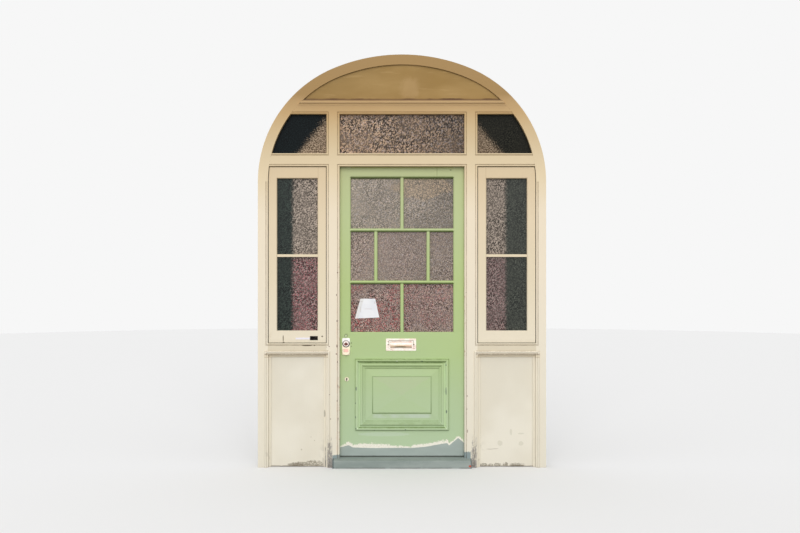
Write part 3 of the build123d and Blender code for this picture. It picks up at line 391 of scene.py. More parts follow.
def colour_setting(name, words, *channels):
    """A colour that a user may change, given in display channels."""
    return FloatVectorProperty(name=name, description=words, subtype="COLOR", default=linear(channels))


def strength_setting(name, words, strength):
    """A strength of light that a user may change."""
    return FloatProperty(name=name, description=words, default=strength)


class ScreenSettings(bpy.types.PropertyGroup):
    """Sizes and colours that a user would change."""

    cream: colour_setting("Cream", "Paint of the posts at eye level", 235, 222, 199)
    foot_cream: colour_setting("Foot cream", "Paint of the frame near the floor", 229, 222, 204)
    transom_cream: colour_setting("Transom cream", "Yellowed paint of the transom", 217, 197, 161)
    # Head cream and arch tan are yellowed paint darkened further by painted shade of the arch
    head_cream_and_shade: colour_setting("Head cream", "Yellowed paint of the head rail", 193, 160, 111)
    arch_tan_and_shade: colour_setting("Arch tan", "Darkened paint under the arch", 163, 130, 80)
    sash_cream: colour_setting("Sash cream", "Paint of the sashes", 226, 212, 183)
    # Grime and gap brown darken corners, deep gaps and downward faces: dirt together with painted shade
    grime_and_shade: colour_setting("Grime", "Dirt in shallow corners", 128, 106, 76)
    gap_brown_and_shade: colour_setting("Gap brown", "Dirt in deep joints", 62, 44, 28)
    board_white: colour_setting("Board white", "Paint of the side boards", 233, 227, 211)
    door_green: colour_setting("Door green", "Paint of the door", 178, 197, 132)
    door_green_high: colour_setting("High green", "Paint at the top of the door", 184, 192, 140)
    door_green_low: colour_setting("Low green", "Paint at the foot of the door", 179, 200, 162)
    # Corner green darkens the door's corners, downward faces and lower arrises: dirt together with painted
    # shade
    corner_green_and_shade: colour_setting("Corner green", "Dirty green in the corners of mouldings", 92, 108, 52)
    post_blue: colour_setting("Post blue", "Grey-blue paint on the feet of the posts", 136, 150, 150)
    torn_white: colour_setting("Torn white", "Bare filler along the torn edge", 240, 236, 222)
    screw_radius: FloatProperty(
        name="Screw radius", description="Radius of a screw head", default=0.0040, unit="LENGTH"
    )
    sun_strength: strength_setting("Sun strength", "Strength of the soft key light", 1.66)
    sky_strength: strength_setting("Sky strength", "Light from the sky overhead", 1.25)
    level_strength: strength_setting("Level strength", "Light from the sky's edge", 0.52)
    circle_steps: IntProperty(name="Circle steps", description="Sides of a turned piece", default=48)


class Step:
    """What every operator does: build its pieces or finishes from the scene's settings."""

    def execute(self, context):
        self.build(context.scene.door_screen)
        return {"FINISHED"}


# Timber finishes

def painted_timber(name, colour_of, along, settings, gloss=0.42, corner=None, corner_share=0.6, under=0.5):
    """Brushed oil paint on timber: slow blotches, brush marks along the grain, and dirt with painted shade
    in corners, on downward faces and in deep gaps.
    """
    paint = Finish(name)
    paint.front = paint.outside()
    corner = corner or settings.grime_and_shade
    blotches = paint.noise(3.2, 4.0, 0.6)
    stretch = (9.0, 60.0, 260.0) if along == "x" else (260.0, 60.0, 9.0)
    brush = paint.noise(1.0, 3.0, 0.55, place=paint.stretched(stretch))
    specks = paint.noise(240.0, 2.0)
    dirt = paint.noise(26.0, 5.0, 0.65)
    colour_of(paint, settings)
    paint.colour = paint.scaled(paint.colour, 0.955 + blotches * 0.06 + brush * 0.03)
    # Corners that are shut in get dirt and painted shade in the corner colour
    corners = paint.hollows(0.016).rise(0.3, 0.85) * (0.45 + dirt.rise(0.36, 0.60) * 0.55) * corner_share
    paint.lay(corners, corner)
    # Faces that point downwards get painted shade in the corner colour, scaled by the under share
    underside_shade = paint.split(paint.add("ShaderNodeTexCoord", output="Normal"))[2].fall(-0.45, -0.05)
    paint.lay(underside_shade * under * (0.6 + dirt * 0.6), corner)
    # Deep gaps get painted shade with dirt in the gap colour
    paint.lay(paint.hollows(0.03).rise(0.80, 0.97), settings.gap_brown_and_shade)
    chips = specks.rise(0.735, 0.755) * dirt.rise(0.5, 0.6) * 0.6
    paint.lay(chips, settings.grime_and_shade)
    roughness = gloss + blotches * 0.16 + corners * 0.2
    height = brush * 0.6 + blotches * 0.8 - chips + specks * 0.1
    return paint.finish(roughness, height, bump=0.35, depth=0.0006, gloss=0.25)


def frame_colour(paint, settings):
    """Cream that yellows towards the arch and darkens there with painted shade of the arch."""
    # The upper stops hold yellowed paint and painted shade of the arch together
    stops = [
        (0.0, settings.foot_cream), (0.55, (232, 224, 205)), (1.3, settings.cream), (1.66, (235, 220, 194)),
        (1.90, (225, 206, 171)), (2.03, settings.transom_cream), (2.20, (205, 179, 136)),
        (2.31, settings.head_cream_and_shade), (2.39, (180, 147, 99)), (2.43, settings.arch_tan_and_shade),
    ]
    paint.colour = paint.ramp(paint.z + paint.stray(0.12, 2.0), stops, 0.0, 2.7)


def head_colour(paint, settings):
    """Cream of the head rail, with a dirty crack along its top and a band of painted light under its nosing
    that lifts the shade there.
    """
    frame_colour(paint, settings)
    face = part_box("head_rail")[0][1]
    # Painted light: a paler band under the nosing
    band = paint.z.band(photo_height(HEAD_LIGHT_FOOT, face), photo_height(HEAD_LIGHT_TOP, face), 0.002)
    paint.mark(band * 0.8, (206, 173, 126))
    crack = (paint.z - photo_height(HEAD_CRACK_ROW, face) + paint.stray(0.004, 30.0)).rise(-0.001, 0.003)
    paint.mark(crack * 0.5, (96, 62, 36))


# Every table of spots below is (x, y, half width, half height) in pixels of the photograph

SASH_CRACKS = [
    (283.2, 338.5, 0.5, 3.6), (307.0, 345.4, 5.2, 0.6), (314.5, 345.4, 0.7, 0.5), (322.2, 336.4, 0.9, 0.8),
    (326.9, 347.0, 0.6, 1.0), (283.6, 342.4, 1.1, 0.5), (327.6, 347.0, 0.3, 1.6), (330.0, 346.5, 0.8, 0.7),
]
POST_FLAKES = [
    (337.5, 272.5, 0.7, 0.8), (336.6, 295.0, 0.5, 1.4), (337.0, 321.0, 0.6, 1.2), (336.8, 346.0, 0.6, 1.6),
    (336.3, 354.0, 0.8, 0.9), (329.2, 346.5, 0.7, 0.7), (337.4, 362.0, 0.5, 1.2), (337.9, 386.0, 0.4, 2.0),
    (337.2, 401.0, 0.5, 0.9), (338.0, 419.0, 0.5, 2.2), (329.5, 394.5, 0.5, 0.7), (330.5, 419.0, 0.6, 0.6),
    (466.0, 292.5, 0.6, 0.6), (467.2, 396.0, 0.5, 0.8), (467.0, 409.0, 0.5, 0.6), (467.4, 431.0, 0.5, 2.2),
]
POST_SCUFF = [(324.4, 413.5, 0.9, 4.2)]
# Dark lines across the mid rails and the moulding under them, cracks and painted shade in the moulding's
# hollow, as (row, thickness, share)
RAIL_CRACKS_AND_SHADE = [(354.4, 0.9, 0.6), (351.0, 0.45, 0.7), (357.4, 0.35, 0.4)]


def sash_colour(paint, settings):
    """Cream of the sashes and mid rails, more yellow than the posts."""
    stops = [
        (0.70, (214, 203, 178)), (0.80, (219, 208, 184)), (0.84, (231, 220, 197)),
        (1.2, settings.sash_cream), (1.60, (225, 207, 176)), (1.90, (216, 195, 160)),
    ]
    paint.colour = paint.ramp(paint.z + paint.stray(0.05, 3.0), stops, 0.6, 2.0)
    paint.front = paint.outside(core_of("left_sash"))
    patches = paint.noise(12.0, 5.0, 0.7).rise(0.60, 0.72) * paint.z.fall(0.80, 0.90)
    paint.lay(patches * 0.5, (188, 168, 132))
    joint = abs(abs(paint.x) - SASH_JOINT).fall(0.0006, 0.0022) * paint.z.past(SASH_TOP_RAIL, 0.002)
    paint.mark(joint * 0.45, (170, 140, 96))
    paint.mark(paint.spots(SASH_CRACKS, SASH_DEPTH, paint.stray(0.9, 90.0)) * 0.85, (92, 76, 54))


def post_colour(paint, settings):
    """The frame's cream, with grey-blue feet, flaked arrises, grey weathered cracks low down and dark lines
    of crack and painted shade under the mid rails.
    """
    frame_colour(paint, settings)
    across = abs(paint.x)
    ragged = paint.stray(1.0, 70.0, 4.0, 0.65)
    pink = paint.x.band(*PINK_EDGE, 0.003) * paint.z.fall(0.95, 1.15)
    paint.lay(pink * paint.noise(14.0, 4.0, 0.6).rise(0.35, 0.6) * 0.35, (222, 188, 160))
    paint.mark(paint.spots(POST_FLAKES, 0.0, 0.25 + ragged * 2.2) * 0.8, (128, 100, 82))
    paint.mark(paint.spots(POST_SCUFF, 0.0, 0.2 + ragged * 2.4) * 0.6, (140, 134, 118))
    beside = across.past(SIDE_MOULDING, 0.002)
    tan = paint.z.band(photo_height(RAIL_TAN_FOOT), photo_height(RAIL_TAN_TOP), 0.001)
    paint.mark(tan * beside * 0.35, (214, 196, 160))
    broken = beside * (0.4 + paint.noise(16.0, 4.0, 0.7).rise(0.38, 0.50) * 0.6)
    # Cracks and painted shade in the hollow of the moulding under the mid rails
    for row, thick, share in RAIL_CRACKS_AND_SHADE:
        streak = abs(paint.z - photo_height(row) + ragged * 0.006).fall(thick * 0.003, thick * 0.0065)
        paint.mark(streak * broken * share, (128, 100, 62))
    edge = (across - POST_ARRIS).fall(0.003, 0.009) * paint.noise(38.0, 4.0, 0.7).rise(0.56, 0.64)
    paint.lay(edge * paint.z.fall(1.3, 1.7) * 0.7, (196, 158, 124))
    grain = paint.noise(1.0, 5.0, 0.75, place=paint.stretched((210.0, 60.0, 40.0)))
    weathered = (grain - paint.z * 0.9).rise(0.33, 0.43)
    low_edge = across.band(*POST_CRACKS, 0.003) * paint.z.fall(0.14, 0.24)
    groove = abs(paint.x + SIDE_GROOVE).fall(0.001, 0.005) * paint.z.fall(0.10, 0.16)
    bare = paint.mix(paint.noise(120.0, 4.0, 0.7).rise(0.4, 0.6), (112, 106, 102), (168, 164, 160))
    paint.mark(weathered * low_edge.most(groove) * 0.9, bare)
    height = paint.z + ragged * 0.03
    left_foot = height.short(LEFT_FOOT_PAINT, 0.003) * paint.x.rise(-POST_BACK - 0.005, -POST_BACK)
    left_foot = left_foot * paint.x.fall(0.0, 0.1)
    right_foot = height.short(RIGHT_FOOT_PAINT, 0.003) * paint.x.band(0.1, POST_BACK - 0.003, 0.004)
    paint.mark(left_foot.most(right_foot), settings.post_blue)
    stain = paint.z.fall(0.05, 0.30) * paint.noise(18.0, 5.0, 0.7).rise(0.52, 0.70)
    paint.mark(stain * 0.4, (168, 160, 142))


class DOORSCREEN_OT_paint_frame(Step, bpy.types.Operator):
    """Paint the posts, rails, mullions, jambs and sashes in weathered cream"""
    bl_idname = "door_screen.paint_frame"
    bl_label = "Paint Frame"

    def build(self, settings):
        # Corner colours and shares set the dirt and painted shade in corners, on downward faces and in gaps
        clean = {"corner": (150, 118, 74), "corner_share": 0.25, "under": 0.0}
        worn = {"corner": (108, 84, 52), "corner_share": 0.65, "under": 0.3}
        for name, colour_of, along, looks, nodes in (
            ("posts", post_colour, "z", {"under": 0.15},
             "left_post right_post left_panel_moulding right_panel_moulding"),
            ("upright", frame_colour, "z", {}, "left_jamb right_jamb left_mullion right_mullion"),
            ("level", frame_colour, "x", {}, "transom arched_head frame_glazing_beads"),
            ("head", head_colour, "x", clean, "head_rail"),
            ("sashes", sash_colour, "z", worn, "left_sash right_sash"),
            ("mid_rails", sash_colour, "x", worn, "left_mid_rail right_mid_rail"),
        ):
            clothe(painted_timber(f"cream_{name}", colour_of, along, settings, **looks), nodes)


def tympanum_colour(paint, settings):
    """Tan board, yellowed paint with painted shade of the arch, darker to the left, with paler patches and
    a dark crack along its foot.
    """
    paint.front = paint.outside(core_of("tympanum_board"))
    clouds = paint.noise(4.5, 4.0, 0.55, place=paint.stretched((0.6, 1.0, 1.4)))
    # The base tans hold yellowed paint and painted shade of the arch together
    paint.colour = paint.mix(clouds.rise(0.3, 0.7), (151, 119, 64), (166, 134, 80))
    paint.lay(paint.x.fall(-0.45, 0.1) * 0.35, (148, 120, 70))
    patch_x, patch_z = photo_place(*ARCH_PATCH, ARCH_DEPTH)
    shift = paint.stray(0.09, 16.0, 5.0, 0.7)
    patch = abs(paint.x - patch_x + shift).fall(0.030, 0.075)
    patch = patch * abs(paint.z - patch_z - shift).fall(0.035, 0.085)
    paint.mark(patch * 0.42, (184, 151, 102))
    smears = paint.noise(1.0, 4.0, 0.6, place=paint.stretched((5.0, 1.0, 38.0))).rise(0.56, 0.70)
    paint.lay(smears * 0.35, (184, 151, 99))
    heavy = paint.noise(5.0, 2.0).rise(0.42, 0.6)
    crack = (paint.z + paint.stray(0.004, 30.0) - heavy * 0.0025).short(ARCH_FOOT, 0.0015)
    paint.mark(crack * (0.6 + heavy * 0.4), (84, 52, 30))


class DOORSCREEN_OT_paint_arch(Step, bpy.types.Operator):
    """Paint the board that fills the arch in darkened cream"""
    bl_idname = "door_screen.paint_arch"
    bl_label = "Paint Arch Board"

    def build(self, settings):
        clothe(painted_timber("arch_board", tympanum_colour, "x", settings, gloss=0.5), "tympanum_board")


# Grey-green smudges and small specks on the boards, and stains and scaling paint along their feet
BOARD_SMUDGES = [
    (521.0, 443.5, 2.4, 2.2), (521.0, 433.5, 3.0, 0.8), (511.0, 432.0, 1.2, 3.0), (500.0, 443.0, 2.6, 2.6),
]
BOARD_SPECKS = [(311.0, 437.0, 0.5, 0.5), (314.5, 440.5, 0.5, 0.5), (301.5, 449.5, 0.8, 0.8)]
FOOT_STAINS = [(295.0, 465.3, 9.0, 2.5), (286.0, 466.6, 6.0, 0.9), (517.0, 465.8, 7.0, 0.9)]
FOOT_SCALES = [
    (303.0, 464.6, 12.0, 2.8), (313.5, 463.6, 9.0, 3.4), (483.5, 464.8, 3.8, 1.8), (490.5, 465.2, 3.2, 1.6),
    (497.5, 464.8, 3.8, 2.0), (505.5, 464.6, 3.0, 2.4), (516.5, 464.8, 8.0, 1.9),
]


def board_colour(paint, settings):
    """Off-white board with a flaking, mouldy foot and faint scuffs."""
    paint.colour = paint.mix(paint.noise(2.6).rise(0.35, 0.65), (225, 218, 200), settings.board_white)
    paint.front = paint.outside(BOARD_DEPTH + 0.006)
    ragged = paint.stray(2.6, 44.0, 5.0, 0.75)
    scaly = paint.noise(150.0, 5.0, 0.75).rise(0.38, 0.54)
    paint.mark(paint.spots(FOOT_SCALES, BOARD_DEPTH, ragged) * scaly * 0.85, (136, 128, 110))
    paint.mark(paint.spots(FOOT_STAINS, BOARD_DEPTH, ragged) * (0.4 + scaly * 0.4), (124, 115, 98))
    foot = (paint.z - 0.002 - paint.noise(40.0, 4.0) * 0.008).fall(0.0, 0.003)
    paint.mark(foot * 0.6, (112, 102, 86))
    corner = (abs(paint.x) - BOARD_EDGE).fall(0.0, 0.05) * paint.z.fall(0.04, 0.26)
    paint.mark(corner * paint.noise(24.0, 4.0).rise(0.45, 0.6) * 0.4, (170, 164, 150))
    crack = abs(paint.z - photo_height(BOARD_CRACK_ROW, BOARD_DEPTH) + paint.stray(0.02, 9.0))
    paint.mark(crack.fall(0.0006, 0.0022) * paint.x.band(*BOARD_CRACK, 0.012) * 0.7, (136, 122, 98))
    paint.mark(paint.spots(BOARD_SPECKS, BOARD_DEPTH, paint.stray(0.8, 120.0)) * 0.5, (160, 148, 120))
    smudges = paint.spots(BOARD_SMUDGES, BOARD_DEPTH, paint.stray(2.4, 30.0, 4.0, 0.7))
    paint.mark(smudges * 0.4, (196, 192, 170))


class DOORSCREEN_OT_paint_boards(Step, bpy.types.Operator):
    """Paint the boards beside the door in worn off-white"""
    bl_idname = "door_screen.paint_boards"
    bl_label = "Paint Side Boards"

    def build(self, settings):
        board = painted_timber("side_boards", board_colour, "z", settings, gloss=0.5)
        clothe(board, "left_panel_board right_panel_board")


# Torn paint along the foot of the door, as (x, lower edge, thickness) in pixels
TORN_EDGE = [
    (338.0, 447.4, 1.0), (343.0, 446.6, 1.6), (348.4, 445.0, 3.2), (352.9, 447.3, 2.6), (361.8, 447.6, 3.4),
    (368.9, 447.8, 3.9), (377.9, 447.9, 3.6), (386.8, 447.8, 3.2), (397.5, 447.6, 1.6), (410.0, 447.8, 1.3),
    (417.1, 447.4, 2.9), (424.3, 446.8, 3.1), (431.4, 445.6, 2.9), (442.1, 443.6, 2.7), (447.3, 443.0, 2.9),
    (449.1, 445.4, 2.1), (453.5, 441.6, 1.8), (458.2, 437.9, 1.9), (465.5, 443.8, 1.3),
]
TORN_LOW, TORN_HIGH = 0.1, 0.26
TORN_THICKEST = 4.0 * METRES_PER_PIXEL

# Worn places on the stiles and rails, a pale patch on the bottom rail, and knocks on the panel moulding
DOOR_MARKS = [
    (339.9, 376.0, 0.35, 1.6), (339.9, 405.0, 0.35, 1.8), (339.9, 423.0, 0.35, 3.0),
    (340.0, 392.0, 0.3, 1.0), (351.3, 343.0, 0.6, 0.9), (351.3, 346.4, 0.5, 0.6),
    (450.6, 170.0, 1.0, 0.6), (437.0, 171.5, 0.22, 6.0),
]
RAIL_PATCH = [(384.0, 434.2, 26.0, 2.2)]
DARK_KNOCKS = [
    (422.0, 361.2, 1.0, 0.7), (446.0, 365.0, 0.5, 0.8), (356.2, 388.5, 0.6, 2.0), (355.6, 403.0, 0.4, 0.8),
    (355.6, 417.0, 0.4, 1.4), (356.0, 428.5, 0.5, 0.9), (446.0, 391.0, 0.45, 4.0), (446.4, 411.5, 0.6, 1.8),
    (374.4, 430.0, 0.8, 0.35), (405.5, 429.4, 0.8, 0.5),
]
PALE_KNOCKS = [(397.0, 361.0, 1.0, 0.5), (376.0, 358.2, 0.7, 0.3), (396.0, 358.2, 0.7, 0.3)]

# Painted shade and dirt in the quirks round the panel's field, as (reach from the field, half width, share
# of darkening along the top, the foot and the sides)
PANEL_QUIRK_SHADES = [
    (0.0490, 0.0024, 0.10, 0.80, 0.08), (0.0570, 0.0030, 0.55, 0.35, 0.14),
    (0.0625, 0.0022, 0.00, 0.60, 0.00), (0.0685, 0.0030, 0.00, 0.70, 0.10),
    (0.0915, 0.0046, 0.95, 0.85, 0.00), (0.1135, 0.0034, 0.85, 0.85, 0.20),
]


def door_colour(paint, settings):
    """Pale green, yellower at the top and bluer below, with a torn grey-blue foot and a painted shadow
    along the top of the leaf.
    """
    stops = [
        (0.1, settings.door_green_low), (0.45, (178, 198, 154)), (0.75, (176, 197, 139)),
        (1.2, settings.door_green), (1.6, (184, 197, 144)), (1.92, settings.door_green_high),
    ]
    paint.colour = paint.ramp(paint.z + paint.stray(0.3, 1.7), stops, 0.0, 2.0)
    plug = paint.radius(photo_place(*DOOR_PLUG, DOOR_DEPTH))
    paint.mark(plug.band(0.0075, 0.0115, 0.0012) * 0.7, (104, 116, 84))
    paint.mark(plug.fall(0.0070, 0.0080) * 0.6, (206, 216, 178))
    paint.mark(paint.spots(DOOR_MARKS, DOOR_DEPTH, paint.stray(0.8, 80.0)) * 0.7, (98, 104, 66))
    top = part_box("top_rail")[1][2]
    # Painted shadow: dark olive along the top of the leaf under the transom
    paint.lay(paint.z.rise(top - 0.011, top - 0.006) * 0.75, (104, 100, 40))
    torn_foot(paint, settings)


def torn_foot(paint, settings):
    """Lay the torn white edge and the grey-blue foot over the door's green."""
    stops = []
    for pixel_x, pixel_y, thickness in TORN_EDGE:
        across, height = photo_place(pixel_x, pixel_y, DOOR_DEPTH)
        level = (height - TORN_LOW) / (TORN_HIGH - TORN_LOW)
        stops.append((across, [level, thickness * METRES_PER_PIXEL / TORN_THICKEST, 0.0]))
    level, thickness, _ = paint.split(paint.ramp(paint.x, stops, stops[0][0], stops[-1][0]))
    above = paint.z - (level * (TORN_HIGH - TORN_LOW) + TORN_LOW)
    coarse = paint.stray(1.0, 70.0, 5.0, 0.75)
    ragged = coarse * 0.048 + paint.stray(0.04, 210.0, 3.0, 0.7)
    past = above - thickness * TORN_THICKEST + ragged
    paint.mark(abs(past).fall(0.0, 0.0022) * 0.35, (120, 134, 96))
    bare = paint.mix(paint.noise(160.0).rise(0.5, 0.7), settings.torn_white, (222, 214, 196))
    paint.mark(past.fall(0.0, 0.0010), bare)
    clouds = paint.noise(7.0, 4.0, 0.6, place=paint.stretched((0.5, 1.0, 2.0)))
    foot = paint.mix(clouds.rise(0.35, 0.7), (157, 168, 162), (166, 177, 171))
    paint.mark((above + coarse * 0.006).fall(-0.0016, 0.0), foot)


def rail_colour(paint, settings):
    """The door's green on level pieces, with painted shade along the lower arris of each bar and a painted
    shadow under the transom.
    """
    door_colour(paint, settings)
    ragged = paint.stray(0.004, 60.0)
    for name in ("top_rail", "upper_glazing_bar", "lower_glazing_bar"):
        # Painted shade along the lower arris of each bar
        arris_shade = (paint.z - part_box(name)[0][2] + ragged).band(-0.002, 0.0115, 0.0025)
        paint.mark(arris_shade * 0.62, settings.corner_green_and_shade)
    # Painted shadow on the top of the top rail, under the transom
    transom_shadow = (paint.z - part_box("top_rail")[1][2]).rise(-0.022, -0.008)
    paint.mark(transom_shadow * 0.9, (172, 176, 84))
    paint.mark(paint.spots(RAIL_PATCH, DOOR_DEPTH, ragged * 300.0) * 0.4, (200, 214, 194))


def panel_colour(paint, settings):
    """The door's green on the panel and its moulding, with knocks, faint shading on the field, a painted
    shadow round its edge, painted shade in the quirks and painted light on the side mouldings and below the
    field.
    """
    door_colour(paint, settings)
    paint.front = paint.outside(core_of("door_panel"))
    low, high = photo_place(*FIELD_LOW, DOOR_DEPTH), photo_place(*FIELD_HIGH, DOOR_DEPTH)
    middle_x, middle_z = (low[0] + high[0]) / 2, (low[1] + high[1]) / 2
    across = abs(paint.x - middle_x) / ((high[0] - low[0]) / 2)
    upward = (paint.z - middle_z) / ((high[1] - low[1]) / 2)
    field = across.fall(0.99, 1.0) * abs(upward).fall(0.99, 1.0)
    ragged = paint.stray(0.3, 20.0)
    foot_wedge = (across * 0.95 + upward + ragged).fall(-0.06, 0.04)
    top_wedge = (upward - across * 0.95 + ragged).rise(-0.04, 0.10)
    paint.mark(foot_wedge * field * 0.35, (174, 196, 146))
    paint.mark(top_wedge * field * 0.40, (184, 194, 158))
    beyond_x, beyond_z = paint.beyond(low, high)
    beyond = beyond_x.most(beyond_z)
    below = middle_z - paint.z
    # Painted shadow along the field's edge, stronger below
    field_edge_shadow = abs(beyond).fall(0.0018, 0.0040) * (0.45 + below.rise(0.0, 0.12) * 0.4)
    paint.mark(field_edge_shadow, (112, 134, 88))
    level = (beyond_z - beyond_x).past(0.0, 0.002)
    foot_side = level * below.past(0.0, 0.01)
    head_side, upright_side = level - foot_side, 1.0 - level
    broken = 0.6 + paint.noise(26.0, 4.0, 0.7).rise(0.35, 0.6) * 0.4
    for reach, width, head_share, foot_share, side_share in PANEL_QUIRK_SHADES:
        share = head_side * head_share + foot_side * foot_share + upright_side * side_share
        # Painted shade in each quirk
        quirk_shade = abs(beyond - reach).fall(width * 0.4, width * 1.3)
        paint.mark(quirk_shade * broken * share, (108, 130, 72))
    # Painted light on the side mouldings, lifting their shade
    paint.mark(beyond.band(0.084, 0.104, 0.003) * upright_side * 0.5, (212, 232, 188))
    # Painted light on the margin below the field, where it faces up
    lit_margin = (paint.z - low[1]).band(-0.030, -0.005, 0.004) * abs(paint.x - middle_x).fall(0.17, 0.20)
    paint.mark(lit_margin * paint.noise(8.0).rise(0.3, 0.5) * 0.55, (202, 212, 202))
    knocked = paint.stray(1.0, 140.0)
    paint.mark(paint.spots(DARK_KNOCKS, DOOR_DEPTH, knocked) * 0.85, (86, 100, 96))
    paint.mark(paint.spots(PALE_KNOCKS, DOOR_DEPTH, knocked) * 0.8, (232, 236, 220))


class DOORSCREEN_OT_paint_door(Step, bpy.types.Operator):
    """Paint the leaf in pale green with its torn, grey-blue foot"""
    bl_idname = "door_screen.paint_door"
    bl_label = "Paint Door"

    def build(self, settings):
        # Corner colours and shares set the dirt and painted shade in corners, on downward faces and in gaps
        dirty_and_shaded = {"gloss": 0.36, "corner": settings.corner_green_and_shade, "corner_share": 0.8, "under": 0.95}
        panel = {"gloss": 0.36, "corner": (98, 120, 58), "corner_share": 0.15, "under": 0.35}
        for name, colour_of, along, looks, nodes in (
            ("upright", door_colour, "z", dirty_and_shaded,
             "hinge_stile lock_stile upright_glazing_bars door_glazing_beads"),
            ("level", rail_colour, "x", dirty_and_shaded,
             "top_rail lock_rail bottom_rail upper_glazing_bar lower_glazing_bar"),
            ("panel", panel_colour, "x", panel, "door_panel panel_moulding"),
        ):
            clothe(painted_timber(f"green_{name}", colour_of, along, settings, **looks), nodes)


def sill_colour(paint, settings):
    """Grey-blue sill, worn dark on its nose and chipped to red at one end, with painted shadow along its
    foot, under the door and at its ends.
    """
    low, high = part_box("threshold")
    clouds = paint.noise(9.0, 5.0, 0.6, place=paint.stretched((0.4, 1.0, 1.6)))
    paint.colour = paint.mix(clouds.rise(0.3, 0.7), (136, 147, 142), (156, 165, 160))
    worn = paint.noise(34.0, 5.0, 0.7).rise(0.56, 0.66) * paint.z.rise(0.03, 0.055)
    paint.lay(worn * 0.4, (112, 122, 118))
    # Painted shade along the foot, where the sill meets the floor
    foot = (paint.z - low[2]).fall(0.003, 0.009) * paint.noise(14.0).rise(0.35, 0.5)
    paint.lay(foot * 0.6, (96, 100, 96))
    # Painted shadow under the door, along the top
    paint.lay((high[2] - paint.z).fall(0.008, 0.016) * 0.3, (116, 126, 121))
    # Painted shadow at both ends
    ends = (paint.x - low[0]).fall(0.004, 0.012).most((high[0] - paint.x).fall(0.002, 0.008))
    paint.lay(ends * 0.75, (58, 74, 82))
    chip = photo_place(*SILL_CHIP, THRESHOLD_DEPTH)
    paint.lay(paint.spot(chip, (0.008, 0.007), paint.stray(0.9, 90.0)), (186, 84, 62))


class DOORSCREEN_OT_paint_threshold(Step, bpy.types.Operator):
    """Paint the threshold in worn grey-blue"""
    bl_idname = "door_screen.paint_threshold"
    bl_label = "Paint Threshold"

    def build(self, settings):
        clothe(painted_timber("sill", sill_colour, "x", settings, gloss=0.5), "threshold")


# Glass

# Warm patch in the figure of the right top pane
WARM_PATCH = (422.0, 186.0, 30.0, 12.0)


def rolled_glass(name, tones, fineness=232.0, turn=40.0, gloss=0.12, unrest=0.38):
    """Opaque obscured glass with a small pebbled figure, whose dark stands for the dark hall behind it as
    painted shade, with light flecks as painted glints. The tones function gives its dark and light colours.
    """
    glass = Finish(name)
    pebbles = glass.stretched((1.0, 1.0, 0.72), turn=math.radians(turn))
    figure = glass.noise(fineness, 2.0, place=pebbles, distortion=0.35)
    grains = glass.noise(fineness * 1.7, 2.0)
    calm = (1.0 - unrest) + glass.noise(6.5, 2.0).rise(0.35, 0.62) * unrest
    speckle = 0.5 + ((figure * 0.78 + grains * 0.22).rise(0.44, 0.60) - 0.5) * calm
    # Painted glints: light flecks in the figure
    glints = glass.noise(fineness * 0.8, 1.0).rise(0.58, 0.66) * calm
    dark, light = tones(glass)
    glass.colour = glass.mix(speckle, dark, glass.scaled(light, 1.0 + glints * 0.45))
    height = figure + grains * 0.3 + glass.noise(24.0, 2.0) * 0.4
    return glass.finish(0.26 + speckle * 0.14, height, bump=0.6, depth=0.0012, gloss=gloss)


def warm_tones(dark_tone, light_tone, drift=0.10, red_reflections=0.0, shadow_of=None, patch=None, fade=0.0):
    """Grey-brown figure that darkens to the right, with cool grains and pink and red grains of painted
    reflection among the light ones, and a painted shadow under the top rail when asked.
    """
    def tones(glass):
        depth = 1.0 - glass.x / DOOR_GLASS_HALF * drift + glass.stray(0.5, 5.0)
        depth = depth + (glass.z - TOP_PANE_MIDDLE) * fade
        dark, light = glass.scaled(dark_tone, depth), glass.scaled(light_tone, depth)
        cool = glass.noise(70.0, 2.0).rise(0.5, 0.6) * 0.35
        light = glass.mix(cool, light, (156, 158, 170))
        # Painted reflection: pink grains
        pink_reflections = glass.noise(185.0, 2.0).rise(0.52, 0.60) * 0.18
        light = glass.mix(pink_reflections, light, glass.scaled((226, 166, 150), depth))
        if patch:
            tint = glass.spots([patch], DOOR_DEPTH, glass.stray(2.4, 9.0, 4.0, 0.7))
            light = glass.mix(tint * 0.42, light, (204, 172, 132))
        # Painted reflection: red grains
        if red_reflections:
            grains = glass.noise(150.0, 2.0).rise(0.53, 0.60) * glass.noise(7.0, 2.0).rise(0.30, 0.55)
            grains = grains * (0.45 + glass.x.fall(-0.04, 0.08) * 0.55) * red_reflections
            dark = glass.mix(grains * 0.6, dark, (120, 40, 44))
            light = glass.mix(grains, light, (206, 96, 98))
        if shadow_of:
            strip = (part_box(shadow_of)[0][2] - glass.z).fall(0.005, 0.011) * 0.8
            dark, light = glass.pair(strip, (dark, light), ((82, 86, 44), (128, 128, 84)))
        return dark, light
    return tones


def side_light_tones(side, corner_ends, share, arch_shade_tones):
    """Near-black painted shade of the arch, with a speckled brown corner beside the mullion."""
    def tones(glass):
        inner, foot = [photo_place(*end, FANLIGHT_DEPTH) for end in corner_ends]
        slope = (inner[1] - foot[1]) / abs(foot[0] - inner[0])
        above = glass.z - inner[1] + (glass.x * side - abs(inner[0])) * slope
        corner = (above + glass.stray(0.22, 130.0, 3.0, 0.75)).fall(-0.035, 0.030)
        brown = [glass.scaled(tone, share) for tone in ((74, 58, 44), (184, 163, 138))]
        return glass.pair(corner, arch_shade_tones, brown)
    return tones


